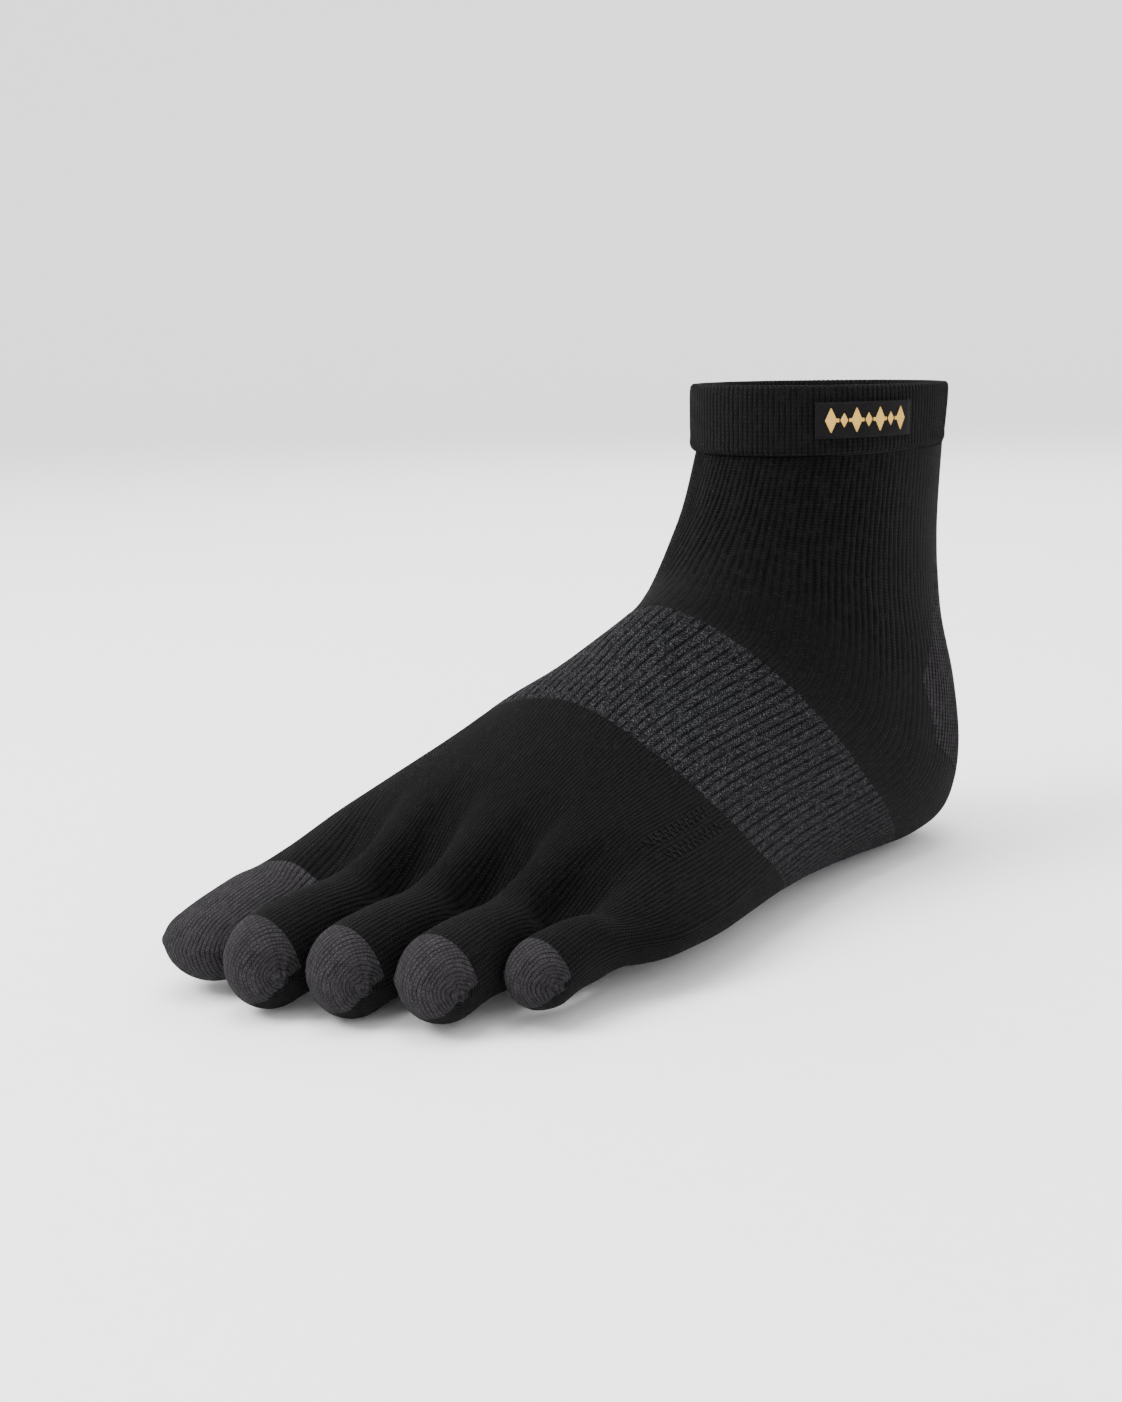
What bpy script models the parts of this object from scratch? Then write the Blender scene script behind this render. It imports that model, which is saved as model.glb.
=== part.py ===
"""A left five-toe ankle sock, kept in the form that it takes on a foot.

Metres. The toes point to -Y, the outer side of the foot is +X and the leg stands along +Z.
The origin is on the inside of the sole, under the ankle, where the foot stands in the sock.

The sock is knitted as one hollow skin. It is modelled that way too: one open skin is lofted from
the section tables, given its wall by Solidify, and cut into pieces where the yarn changes.
"""

import math
from typing import NamedTuple

import bmesh
import bpy
import numpy as np
from mathutils import Vector

# Driving dimensions
FOOT_LENGTH = 0.260
BALL_WIDTH = 0.100
INSTEP_HEIGHT = 0.080
CUFF_HEIGHT = 0.0172
TOE_THICKNESS = 0.023
WALL = 0.0018
WELT_WALL = 0.0034
ANKLE_SHARE = 0.21
PIECE_GAP = 0.0003
SLOT_GAP = 0.0006  # where the toes join the forefoot, in the folds between them
LABEL_WIDTH = 0.030
LABEL_HEIGHT = 0.0090
LABEL_WALL = 0.0008
LABEL_TURN = 31.0  # degrees forward of the outer side
EDGE_ROUND = 0.0013


class Section(NamedTuple):
    """One ring of the skin, through a point on its upper or front side and one on its under or back side.

    Lengths along the foot are shares of FOOT_LENGTH from the heel, heights are shares of INSTEP_HEIGHT,
    and widths are shares of BALL_WIDTH, measured from the line through the ankle.
    """

    front: float
    front_height: float
    back: float
    back_height: float
    half_width: float
    middle: float
    ridge: float
    waist: float
    front_power: float
    back_power: float
    slant: float


# Rings from the leg's top, under the cuff, to the toe roots. The last columns say where a ring is widest
# between its back and its front, how square its two halves are, and how far its outer side lies back.
SECTIONS = (
    #       front  f_high  back   b_high  half  middle ridge  waist  f_pow  b_pow slant
    Section(0.348, 1.427, 0.054, 1.440, 0.325, 0.02, 0.02, 0.48, 0.96, 0.98, 0.00),
    Section(0.363, 1.270, 0.056, 1.100, 0.330, 0.01, 0.01, 0.47, 0.95, 1.00, 0.00),
    Section(0.383, 1.150, 0.044, 0.780, 0.342, 0.00, 0.00, 0.46, 0.95, 0.98, 0.00),
    Section(0.409, 1.055, 0.020, 0.490, 0.350, 0.00, -0.01, 0.44, 0.95, 0.90, 0.00),
    Section(0.430, 1.000, 0.014, 0.220, 0.348, 0.00, -0.02, 0.41, 0.95, 0.82, 0.00),
    Section(0.447, 0.965, 0.045, 0.030, 0.345, 0.00, -0.03, 0.37, 0.96, 0.78, 0.00),
    Section(0.467, 0.930, 0.120, -0.025, 0.345, 0.00, -0.04, 0.33, 0.96, 0.76, 0.00),
    Section(0.500, 0.868, 0.240, -0.010, 0.360, 0.00, -0.06, 0.30, 0.97, 0.74, 0.00),
    Section(0.540, 0.800, 0.360, 0.010, 0.388, 0.01, -0.08, 0.29, 0.97, 0.73, 0.02),
    Section(0.583, 0.733, 0.460, 0.015, 0.422, 0.02, -0.11, 0.29, 0.97, 0.73, 0.05),
    Section(0.630, 0.646, 0.540, 0.008, 0.455, 0.03, -0.13, 0.31, 0.96, 0.75, 0.08),
    Section(0.680, 0.552, 0.610, 0.000, 0.487, 0.03, -0.14, 0.34, 0.94, 0.77, 0.13),
    Section(0.727, 0.463, 0.670, -0.005, 0.508, 0.02, -0.13, 0.38, 0.92, 0.79, 0.19),
    Section(0.768, 0.386, 0.720, -0.008, 0.512, 0.01, -0.10, 0.42, 0.90, 0.82, 0.25),
    Section(0.805, 0.328, 0.765, 0.010, 0.500, -0.01, -0.06, 0.46, 0.88, 0.84, 0.30),
)
# The cuff is a little taller in front: shares of CUFF_HEIGHT.
CUFF_FRONT = 1.08
CUFF_BACK = 0.94


class Toe(NamedTuple):
    """One toe: its ring segments, tip and form.

    The tip is given by its distance from the heel, a share of FOOT_LENGTH, its place across the foot, a
    share of BALL_WIDTH from the ankle's line, and its height, a share of TOE_THICKNESS. Width and height
    are half sizes at the tip, shares of BALL_WIDTH and of TOE_THICKNESS. nose is how far the tip reaches
    past them, a share of TOE_THICKNESS.
    neck is the width halfway along, a share of the tip's, and arch lifts the middle of the toe.
    """

    name: str
    segments: int
    tip: float
    across: float
    height: float
    half_width: float
    half_height: float
    nose: float
    neck: float
    arch: float
    capped: bool


# From the outer side of the foot inwards.
TOES = (
    #   name     segments    tip  across height width  high  nose  neck  arch  capped
    Toe("little_toe", 4, 0.816, 0.412, 0.44, 0.0805, 0.36, 0.42, 0.94, 0.10, True),
    Toe("fourth_toe", 4, 0.880, 0.260, 0.44, 0.0989, 0.45, 0.46, 0.88, 0.14, True),
    Toe("third_toe", 4, 0.911, 0.055, 0.42, 0.09775, 0.48, 0.47, 0.90, 0.16, True),
    Toe("second_toe", 4, 0.941, -0.136, 0.44, 0.0989, 0.49, 0.48, 0.90, 0.16, True),
    Toe("big_toe", 6, 0.931, -0.367, 0.47, 0.12535, 0.455, 0.50, 0.94, 0.06, False),
)
# Each web between two toes, outer side first: its place across the foot, a share of BALL_WIDTH, and the
# depth of the valley above it, a share of INSTEP_HEIGHT.
WEBS = (
    # across, dip
    (0.31, 0.13),
    (0.13, 0.16),
    (-0.07, 0.15),
    (-0.25, 0.09),
)
WEB_WIDTH = 0.0044
VALLEY_RINGS = 3.0  # table rows over which the valleys fade out
TOE_BLEND = 0.45  # share of a toe's length over which its root takes a round form
TIP_CAP_SHARE = 0.70  # share of the way over the tip, from top to underside, that the cap covers

RINGS_PER_SECTION = 2
TOE_RINGS = 5
TIP_STEPS = 6
BAND_ROWS = (6.5, 9.0)  # table rows between which the arch band lies, before its edges are drawn
BAND_EASE = (2.5, 12.0)  # table rows past which rings keep their place
PATCH_TOP = 1.5  # table rows of the heel patch: its top, its side corners and its foot
PATCH_CORNER = 3.5
PATCH_FOOT = 4.5



class BandEdge(NamedTuple):
    """Where the arch band starts and ends, in table rows, at one place round the foot.

    The place is 0 on the ridge of the instep and 1 in the middle of the sole.
    """

    place: float
    rear: float
    front: float


BAND_EDGES = (
    #        place rear  front
    BandEdge(0.00, 5.20, 9.20),
    BandEdge(0.08, 5.45, 9.28),
    BandEdge(0.20, 5.85, 9.45),
    BandEdge(0.32, 6.12, 9.55),
    BandEdge(0.45, 6.38, 9.48),
    BandEdge(0.60, 6.50, 9.05),
    BandEdge(0.75, 6.50, 8.60),
    BandEdge(1.00, 6.50, 8.50),
)

SOURCE = "sock_skin"


def along(share):
    """The Y of a point this share of the foot's length in front of the heel."""
    return (ANKLE_SHARE - share) * FOOT_LENGTH


def smooth(amount):
    """0 to 1 with level ends."""
    amount = min(1.0, max(0.0, amount))
    return amount * amount * (3.0 - 2.0 * amount)


def section_at(row):
    """The section at a fractional table row, on a Catmull-Rom curve through the table."""
    last = len(SECTIONS) - 1
    low = min(int(row), last - 1)
    part = row - low
    before, first = np.array(SECTIONS[max(low - 1, 0)]), np.array(SECTIONS[low])
    second, after = np.array(SECTIONS[low + 1]), np.array(SECTIONS[min(low + 2, last)])
    curve = (
        2.0 * first
        + (second - before) * part
        + (2.0 * before - 5.0 * first + 4.0 * second - after) * part**2
        + (3.0 * (first - second) + after - before) * part**3
    )
    return Section(*(0.5 * curve))


def ring_curve(section, angles):
    """Points of a section's outline. Angle 0 is the outer side, a quarter turn is the front or top."""
    front = np.array([section.ridge * BALL_WIDTH, along(section.front), section.front_height * INSTEP_HEIGHT])
    back = np.array([0.0, along(section.back), section.back_height * INSTEP_HEIGHT])
    centre = back + (front - back) * section.waist
    centre[0] = 0.0
    sine, cosine = np.sin(angles), np.cos(angles)
    power = np.where(sine >= 0, section.front_power, section.back_power)
    lift = np.abs(sine) ** power
    reach = np.sign(cosine) * np.abs(cosine) ** power
    points = centre + np.where(sine >= 0, lift, 0.0)[:, None] * (front - centre)
    points += np.where(sine < 0, lift, 0.0)[:, None] * (back - centre)
    points[:, 0] += reach * section.half_width * BALL_WIDTH + section.middle * BALL_WIDTH
    points[:, 1] += section.slant * points[:, 0]
    return points


def half_angles(section, start, count):
    """Angles of count + 1 points that are evenly spaced along half of a ring, from start."""
    fine = np.linspace(start, start + math.pi, 181)
    points = ring_curve(section, fine)
    run = np.concatenate([[0.0], np.cumsum(np.linalg.norm(np.diff(points, axis=0), axis=1))])
    return np.interp(np.linspace(0.0, run[-1], count + 1), run, fine)


def slot_angles(section, start, outward):
    """Angles that put the ring's points at the toe slots and the webs between them."""
    fine = np.linspace(start, start + math.pi, 181)
    across = ring_curve(section, fine)[:, 0] / BALL_WIDTH
    counts, edges = [], [across.max()]
    for toe, web in zip(TOES, (*WEBS, None)):
        counts.append(toe.segments)
        if web:
            counts.append(1)
            half = 0.5 * WEB_WIDTH / BALL_WIDTH
            edges.extend([web[0] + half, web[0] - half])
    edges.append(across.min())
    if not outward:
        counts, edges = counts[::-1], edges[::-1]
    order = np.argsort(across)
    angles = [start]
    for number, count in enumerate(counts):
        ends = np.interp([edges[number], edges[number + 1]], across[order], fine[order])
        if number == 0:
            ends[0] = start
        if number == len(counts) - 1:
            ends[1] = start + math.pi
        angles.extend(np.linspace(ends[0], ends[1], count + 1)[1:])
    return np.array(angles)


HALF_COUNT = sum(toe.segments for toe in TOES) + len(WEBS)
LAST_ROW = len(SECTIONS) - 1


def ring_points(row):
    """One ring of the skin, from the outer side over the front to the inner side and back underneath."""
    section = section_at(row)
    share = smooth(1.0 - (LAST_ROW - row) / 5.0)
    top = half_angles(section, 0.0, HALF_COUNT) * (1 - share) + slot_angles(section, 0.0, True) * share
    under = half_angles(section, math.pi, HALF_COUNT) * (1 - share)
    under += slot_angles(section, math.pi, False) * share
    points = ring_curve(section, np.concatenate([top[:-1], under[:-1]]))
    fade = smooth(1.0 - (LAST_ROW - row) / VALLEY_RINGS)
    edge = 0
    for toe, web in zip(TOES, WEBS):
        edge += toe.segments
        depth = web[1] * INSTEP_HEIGHT * fade
        for place, part in ((edge - 1, 0.3), (edge, 1.0), (edge + 1, 1.0), (edge + 2, 0.3)):
            points[place, 2] -= part * depth
        edge += 1
    return points


def drawn_row(row, column):
    """The table row at which a ring's point is drawn, so that the band's edges follow their table."""
    away = abs(column - HALF_COUNT / 2)
    place = min(away, 2 * HALF_COUNT - away) / HALF_COUNT
    places = [edge.place for edge in BAND_EDGES]
    rear = np.interp(place, places, [edge.rear for edge in BAND_EDGES])
    front = np.interp(place, places, [edge.front for edge in BAND_EDGES])
    first, last = BAND_EASE
    return float(np.interp(row, (0, first, *BAND_ROWS, last, LAST_ROW), (0, first, rear, front, last, LAST_ROW)))


def drawn_ring(row):
    """One ring of the skin with each point at its drawn row."""
    points = ring_points(row)
    for column in range(len(points)):
        drawn = drawn_row(row, column)
        if abs(drawn - row) > 1e-6:
            points[column] = ring_points(drawn)[column]
    return points


class Skin:
    """Collects the points and faces of the open skin, each face with the name of its piece."""

    def __init__(self):
        self.points = []
        self.faces = []
        self.pieces = []
        self.slot_points = set()

    def add_points(self, points):
        """Adds points and returns their numbers."""
        first = len(self.points)
        self.points.extend(tuple(point) for point in points)
        return list(range(first, len(self.points)))

    def add_face(self, corners, piece):
        """Adds a face, without a corner that is named twice."""
        kept = [corner for number, corner in enumerate(corners) if corner != corners[number - 1]]
        self.faces.append(kept)
        self.pieces.append(piece)


def patch_limits(column, count):
    """The first and last ring step of the heel patch at this column. It narrows to a corner at each side."""
    back = count * 3 // 4
    from_corner = count // 4 - abs(column - back)
    if from_corner < 0:
        return 1, 0
    corner, top, foot = (round(row * RINGS_PER_SECTION) for row in (PATCH_CORNER, PATCH_TOP, PATCH_FOOT))
    return max(top, corner - from_corner), min(foot, corner + from_corner)


def build_tube(skin):
    """Lofts the leg, heel, arch and forefoot. Returns the last ring."""
    rows = np.linspace(0.0, LAST_ROW, LAST_ROW * RINGS_PER_SECTION + 1)
    rings = [skin.add_points(drawn_ring(row)) for row in rows]
    count = len(rings[0])
    for step, (first, second) in enumerate(zip(rings, rings[1:])):
        middle = rows[step] + 0.5 / RINGS_PER_SECTION
        if middle < BAND_ROWS[0]:
            piece = "leg_and_heel"
        elif middle < BAND_ROWS[1]:
            piece = "arch_band"
        else:
            piece = "forefoot"
        for place in range(count):
            after = (place + 1) % count
            corners = [first[place], first[after], second[after], second[place]]
            inside = []
            for column, ring_step in ((place, step), (place + 1, step), (place + 1, step + 1), (place, step + 1)):
                top, foot = patch_limits(column, count)
                inside.append(top <= ring_step <= foot)
            if sum(inside) == 4:
                skin.add_face(corners, "heel_patch")
            elif sum(inside) == 3:
                out = inside.index(False)
                skin.add_face([corners[out - 1], corners[out], corners[(out + 1) % 4]], piece)
                corners.pop(out)
                skin.add_face(corners, "heel_patch")
            else:
                skin.add_face(corners, piece)
    return rings[-1]


def toe_frame(toe, root, amount):
    """Centre and axes of a toe's cross section at this share of its length."""
    tip = np.array([toe.across * BALL_WIDTH, along(toe.tip), toe.height * TOE_THICKNESS])
    middle = 0.5 * (root + tip)
    middle[2] += toe.arch * TOE_THICKNESS + 0.5 * (max(root[2], tip[2]) - middle[2])
    centre = (1 - amount) ** 2 * root + 2 * amount * (1 - amount) * middle + amount**2 * tip
    heading = 2 * (1 - amount) * (middle - root) + 2 * amount * (tip - middle)
    heading = heading / np.linalg.norm(heading)
    side = np.cross(heading, [0.0, 0.0, 1.0])
    side = -side / np.linalg.norm(side)
    up = np.cross(side, heading)
    if up[2] < 0:
        up = -up
    return centre, heading, side, up


def build_toe(skin, toe, upper, lower):
    """Lofts a toe from its slot. upper and lower run from its outer to its inner side and share their ends."""
    slot = upper + lower[-2:0:-1]
    start = np.array([skin.points[number] for number in slot])
    root = start.mean(axis=0)
    half = len(upper) - 1
    turns = np.concatenate([
        np.linspace(0.0, math.pi, half + 1),
        np.linspace(math.pi, 2 * math.pi, half + 1)[1:-1],
    ])
    width, height = toe.half_width * BALL_WIDTH, toe.half_height * TOE_THICKNESS
    slot_side = (start[0] - start[half]) / np.linalg.norm(start[0] - start[half])
    previous = slot
    for step in range(1, TOE_RINGS + 1):
        amount = step / TOE_RINGS
        centre, _, side, up = toe_frame(toe, root, amount)
        side = slot_side * (1 - amount) + side * amount
        slim = 1.0 - (1.0 - toe.neck) * math.sin(math.pi * amount) ** 2
        ellipse = centre + np.outer(np.cos(turns) * width * slim, side) + np.outer(np.sin(turns) * height, up)
        share = min(1.0, amount / TOE_BLEND)
        ring = skin.add_points((start + centre - root) * (1 - share) + ellipse * share)
        for place in range(len(ring)):
            after = (place + 1) % len(ring)
            skin.add_face([previous[place], previous[after], ring[after], ring[place]], toe.name)
        previous = ring
    build_tip(skin, toe, previous, root, half, width, height)


def build_tip(skin, toe, ring, root, half, width, height):
    """Closes a toe over its front. The knit lines run over the tip, between a gathered point at each side."""
    centre, heading, side, up = toe_frame(toe, root, 1.0)
    nose = toe.nose * TOE_THICKNESS
    upper = ring[: half + 1]
    lower = [ring[0]] + ring[:half:-1][: half - 1] + [ring[half]]
    turns = np.linspace(0.0, math.pi, half + 1)
    previous = upper
    for step in range(1, TIP_STEPS + 1):
        over = math.pi * step / TIP_STEPS
        if step == TIP_STEPS:
            line = lower
        else:
            inner = [
                centre
                + side * width * math.cos(turn)
                + math.sin(turn) * (up * height * math.cos(over) + heading * nose * math.sin(over))
                for turn in turns[1:-1]
            ]
            line = [upper[0]] + skin.add_points(inner) + [upper[-1]]
        capped = toe.capped and (step - 0.5) / TIP_STEPS < TIP_CAP_SHARE
        piece = toe.name + "_cap" if capped else toe.name
        for place in range(half):
            skin.add_face([previous[place], previous[place + 1], line[place + 1], line[place]], piece)
        previous = line


def build_toes(skin, ring):
    """Divides the last ring into five slots, closes the webs between them, and lofts the toes."""
    count = len(ring)
    skin.slot_points.update(ring)
    edge = 0
    outer = []
    for toe, web in zip(TOES, (*WEBS, None)):
        top = ring[edge : edge + toe.segments + 1]
        under = [ring[(count - edge - step) % count] for step in range(toe.segments + 1)]
        edge += toe.segments
        inner = []
        if web:
            sides = []
            for place in (edge, edge + 1):
                above, below = np.array(skin.points[ring[place]]), np.array(skin.points[ring[count - place]])
                sides += skin.add_points([0.5 * (above + below)])
            skin.slot_points.update(sides)
            skin.add_face([ring[edge], ring[edge + 1], sides[1], sides[0]], "forefoot")
            skin.add_face([sides[0], sides[1], ring[count - edge - 1], ring[count - edge]], "forefoot")
            inner = [sides[0]]
        upper = outer + top + inner
        lower = outer + under + inner
        build_toe(skin, toe, upper, lower)
        outer = [sides[1]]
        edge += 1


class Yarn(NamedTuple):
    """The finish of a piece."""

    colour: tuple
    roughness: float


BLACK = Yarn((0.012, 0.012, 0.013, 1.0), 0.9)
CHARCOAL = Yarn((0.045, 0.046, 0.050, 1.0), 0.9)
GREY = Yarn((0.070, 0.064, 0.068, 1.0), 0.9)
WOVEN = Yarn((0.010, 0.009, 0.009, 1.0), 0.7)


def yarn_of(piece):
    """The yarn that a piece is knitted from."""
    if piece.endswith("_cap") or piece in ("big_toe", "heel_patch"):
        return GREY
    return {"arch_band": CHARCOAL, "label": WOVEN}.get(piece, BLACK)


def add_object(name, mesh, collection):
    """Adds a named object with its own material."""
    mesh.materials.clear()
    yarn = yarn_of(name)
    material = bpy.data.materials.new(name)
    material.use_nodes = True
    shader = material.node_tree.nodes["Principled BSDF"]
    shader.inputs["Base Color"].default_value = yarn.colour
    shader.inputs["Roughness"].default_value = yarn.roughness
    shader.inputs["Metallic"].default_value = 0.0
    mesh.materials.append(material)
    mesh.polygons.foreach_set("material_index", [0] * len(mesh.polygons))
    mesh.shade_smooth()
    obj = bpy.data.objects.new(name, mesh)
    collection.objects.link(obj)
    return obj


def walled_skin(skin, names, collection):
    """The skin with its wall, as a mesh whose inner points follow the outer ones in the same order."""
    mesh = bpy.data.meshes.new(SOURCE)
    mesh.from_pydata(skin.points, [], skin.faces)
    for name in names:
        mesh.materials.append(bpy.data.materials.new(name + "_zone"))
    mesh.polygons.foreach_set("material_index", [names.index(piece) for piece in skin.pieces])
    obj = bpy.data.objects.new(SOURCE, mesh)
    collection.objects.link(obj)
    wall = obj.modifiers.new("wall", "SOLIDIFY")
    wall.thickness = WALL
    wall.offset = -1.0
    wall.material_offset = 0
    wall.material_offset_rim = 0
    bpy.context.view_layer.update()
    walled = bpy.data.meshes.new_from_object(obj.evaluated_get(bpy.context.evaluated_depsgraph_get()))
    bpy.data.objects.remove(obj)
    return walled


def inward(edge):
    """The direction from a cut edge into the cloth beside it."""
    face = edge.link_faces[0]
    across = (edge.verts[1].co - edge.verts[0].co).cross(face.normal).normalized()
    if across.dot(face.calc_center_median() - edge.verts[0].co) < 0:
        across = -across
    return across


def cut_piece(walled, index, outer_count, slot_points):
    """One piece of the walled skin, drawn back from the cut by half the gap, with the cut closed."""
    bm = bmesh.new()
    bm.from_mesh(walled)
    bm.verts.ensure_lookup_table()
    numbers = bm.verts.layers.int.new("number")
    for vert in bm.verts:
        vert[numbers] = vert.index
    bmesh.ops.delete(bm, geom=[face for face in bm.faces if face.material_index != index], context="FACES")
    bm.normal_update()
    partner = {vert[numbers]: vert for vert in bm.verts}
    cut = [edge for edge in bm.edges if edge.is_boundary]
    outer = [edge for edge in cut if all(vert[numbers] < outer_count for vert in edge.verts)]
    shifts = {}
    for edge in outer:
        for vert in edge.verts:
            shifts.setdefault(vert, []).append(inward(edge))
    for edge in outer:
        first, second = edge.verts
        below = [partner[vert[numbers] + outer_count] for vert in (second, first)]
        bm.faces.new([first, second, *below])
    for vert, ways in shifts.items():
        way = sum(ways, Vector()) / max(0.5, 1.0 + ways[0].dot(ways[-1]))
        way *= 0.5 * (SLOT_GAP if vert[numbers] in slot_points else PIECE_GAP)
        vert.co += way
        partner[vert[numbers] + outer_count].co += way
    bmesh.ops.recalc_face_normals(bm, faces=bm.faces[:])
    mesh = bpy.data.meshes.new("piece")
    bm.to_mesh(mesh)
    bm.free()
    return mesh


def cuff_ring(share, angles, grow):
    """A ring of the cuff at this share of its height, grown outwards."""
    low = section_at(0.0)
    rise = CUFF_HEIGHT / INSTEP_HEIGHT * share
    section = low._replace(
        front_height=low.front_height + rise * CUFF_FRONT,
        back_height=low.back_height + rise * CUFF_BACK,
    )
    points = ring_curve(section, angles)
    points[:, 2] += PIECE_GAP
    out = points - [section.middle * BALL_WIDTH, along(0.5 * (section.front + section.back)), 0.0]
    out[:, 2] = 0.0
    return points + out / np.linalg.norm(out, axis=1)[:, None] * grow


def loft_sheet(rings, closed):
    """An open sheet through the rings."""
    count = len(rings[0])
    faces = []
    for step in range(len(rings) - 1):
        for place in range(count if closed else count - 1):
            after = (place + 1) % count
            low, high = step * count, (step + 1) * count
            faces.append([low + place, high + place, high + after, low + after])
    mesh = bpy.data.meshes.new("sheet")
    mesh.from_pydata([tuple(point) for ring in rings for point in ring], [], faces)
    return mesh


def add_wall(obj, thickness, edge_round, segments):
    """Gives a sheet its wall, on the inner side, and rounds the wall's edges."""
    wall = obj.modifiers.new("wall", "SOLIDIFY")
    wall.thickness = thickness
    wall.offset = -1.0
    wall.use_even_offset = True
    rounding = obj.modifiers.new("edges", "BEVEL")
    rounding.width = edge_round
    rounding.segments = segments
    rounding.limit_method = "ANGLE"
    rounding.angle_limit = math.radians(50.0)


def build_cuff(collection):
    """The welt: a thicker band above the leg, level with it inside and proud of it outside."""
    section = section_at(0.0)
    angles = np.concatenate([half_angles(section, start, HALF_COUNT)[:-1] for start in (0.0, math.pi)])
    proud = WELT_WALL - WALL
    rings = [cuff_ring(share, angles, proud) for share in (0.0, 0.5, 1.0)]
    obj = add_object("cuff", loft_sheet(rings, True), collection)
    add_wall(obj, WELT_WALL, EDGE_ROUND, 2)


def build_label(collection):
    """The woven label, sewn to the outer side of the cuff, forward of its middle."""
    proud = WELT_WALL - WALL + PIECE_GAP + LABEL_WALL
    fine = np.linspace(-0.5, math.pi / 2, 361)
    middle = cuff_ring(0.5, fine, proud)
    run = np.concatenate([[0.0], np.cumsum(np.linalg.norm(np.diff(middle, axis=0), axis=1))])
    centre = np.interp(math.radians(LABEL_TURN), fine, run)
    angles = np.interp(centre + np.linspace(-0.5, 0.5, 11) * LABEL_WIDTH, run, fine)
    half = 0.5 * LABEL_HEIGHT / CUFF_HEIGHT
    rings = [cuff_ring(share, angles, proud) for share in (0.5 - half, 0.5, 0.5 + half)]
    obj = add_object("label", loft_sheet(rings, False), collection)
    add_wall(obj, LABEL_WALL, LABEL_WALL * 0.3, 1)


def main():
    """Builds the sock."""
    for old in list(bpy.data.objects):
        bpy.data.objects.remove(old)
    collection = bpy.data.collections.new("toe_sock")
    bpy.context.scene.collection.children.link(collection)
    skin = Skin()
    build_toes(skin, build_tube(skin))
    names = sorted(set(skin.pieces))
    walled = walled_skin(skin, names, collection)
    for index, name in enumerate(names):
        add_object(name, cut_piece(walled, index, len(skin.points), skin.slot_points), collection)
    build_cuff(collection)
    build_label(collection)


main()
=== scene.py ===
"""A left toe sock in black and heather yarn, knitted stitch by stitch, in the form that it takes on a foot.

Metres. The toes point to -Y, the outer side of the foot is +X and the leg stands along +Z.
"""

import logging
import math
from bisect import bisect_right
from dataclasses import dataclass, field
from enum import Enum
from functools import cached_property
from typing import NamedTuple

import bmesh
import bpy
import numpy as np
from mathutils import Matrix, Vector


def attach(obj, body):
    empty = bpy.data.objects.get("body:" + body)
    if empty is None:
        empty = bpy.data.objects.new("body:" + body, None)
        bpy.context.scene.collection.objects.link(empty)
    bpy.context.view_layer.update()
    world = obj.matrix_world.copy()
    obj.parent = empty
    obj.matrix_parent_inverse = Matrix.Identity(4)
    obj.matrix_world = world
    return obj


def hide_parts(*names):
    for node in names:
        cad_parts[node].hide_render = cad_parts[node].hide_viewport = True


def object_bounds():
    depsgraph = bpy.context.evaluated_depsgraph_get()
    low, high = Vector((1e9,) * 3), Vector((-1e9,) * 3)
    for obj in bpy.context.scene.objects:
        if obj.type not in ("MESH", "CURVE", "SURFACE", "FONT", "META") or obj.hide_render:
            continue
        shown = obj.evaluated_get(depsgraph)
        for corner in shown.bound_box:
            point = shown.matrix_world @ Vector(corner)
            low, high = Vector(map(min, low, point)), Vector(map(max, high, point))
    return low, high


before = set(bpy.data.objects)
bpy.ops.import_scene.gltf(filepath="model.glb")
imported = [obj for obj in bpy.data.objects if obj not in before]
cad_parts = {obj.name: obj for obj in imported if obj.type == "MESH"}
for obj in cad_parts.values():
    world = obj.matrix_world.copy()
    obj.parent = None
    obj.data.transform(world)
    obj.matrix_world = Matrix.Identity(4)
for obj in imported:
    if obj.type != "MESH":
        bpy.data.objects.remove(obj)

log = logging.getLogger("toe_sock")

CAD_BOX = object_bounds()


class Section(NamedTuple):
    """One ring of the skin, in shares of the foot's length, the instep's height and the ball's width."""

    front: float
    front_height: float
    back: float
    back_height: float
    half_width: float
    middle: float
    ridge: float
    waist: float
    front_power: float
    back_power: float
    slant: float


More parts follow.
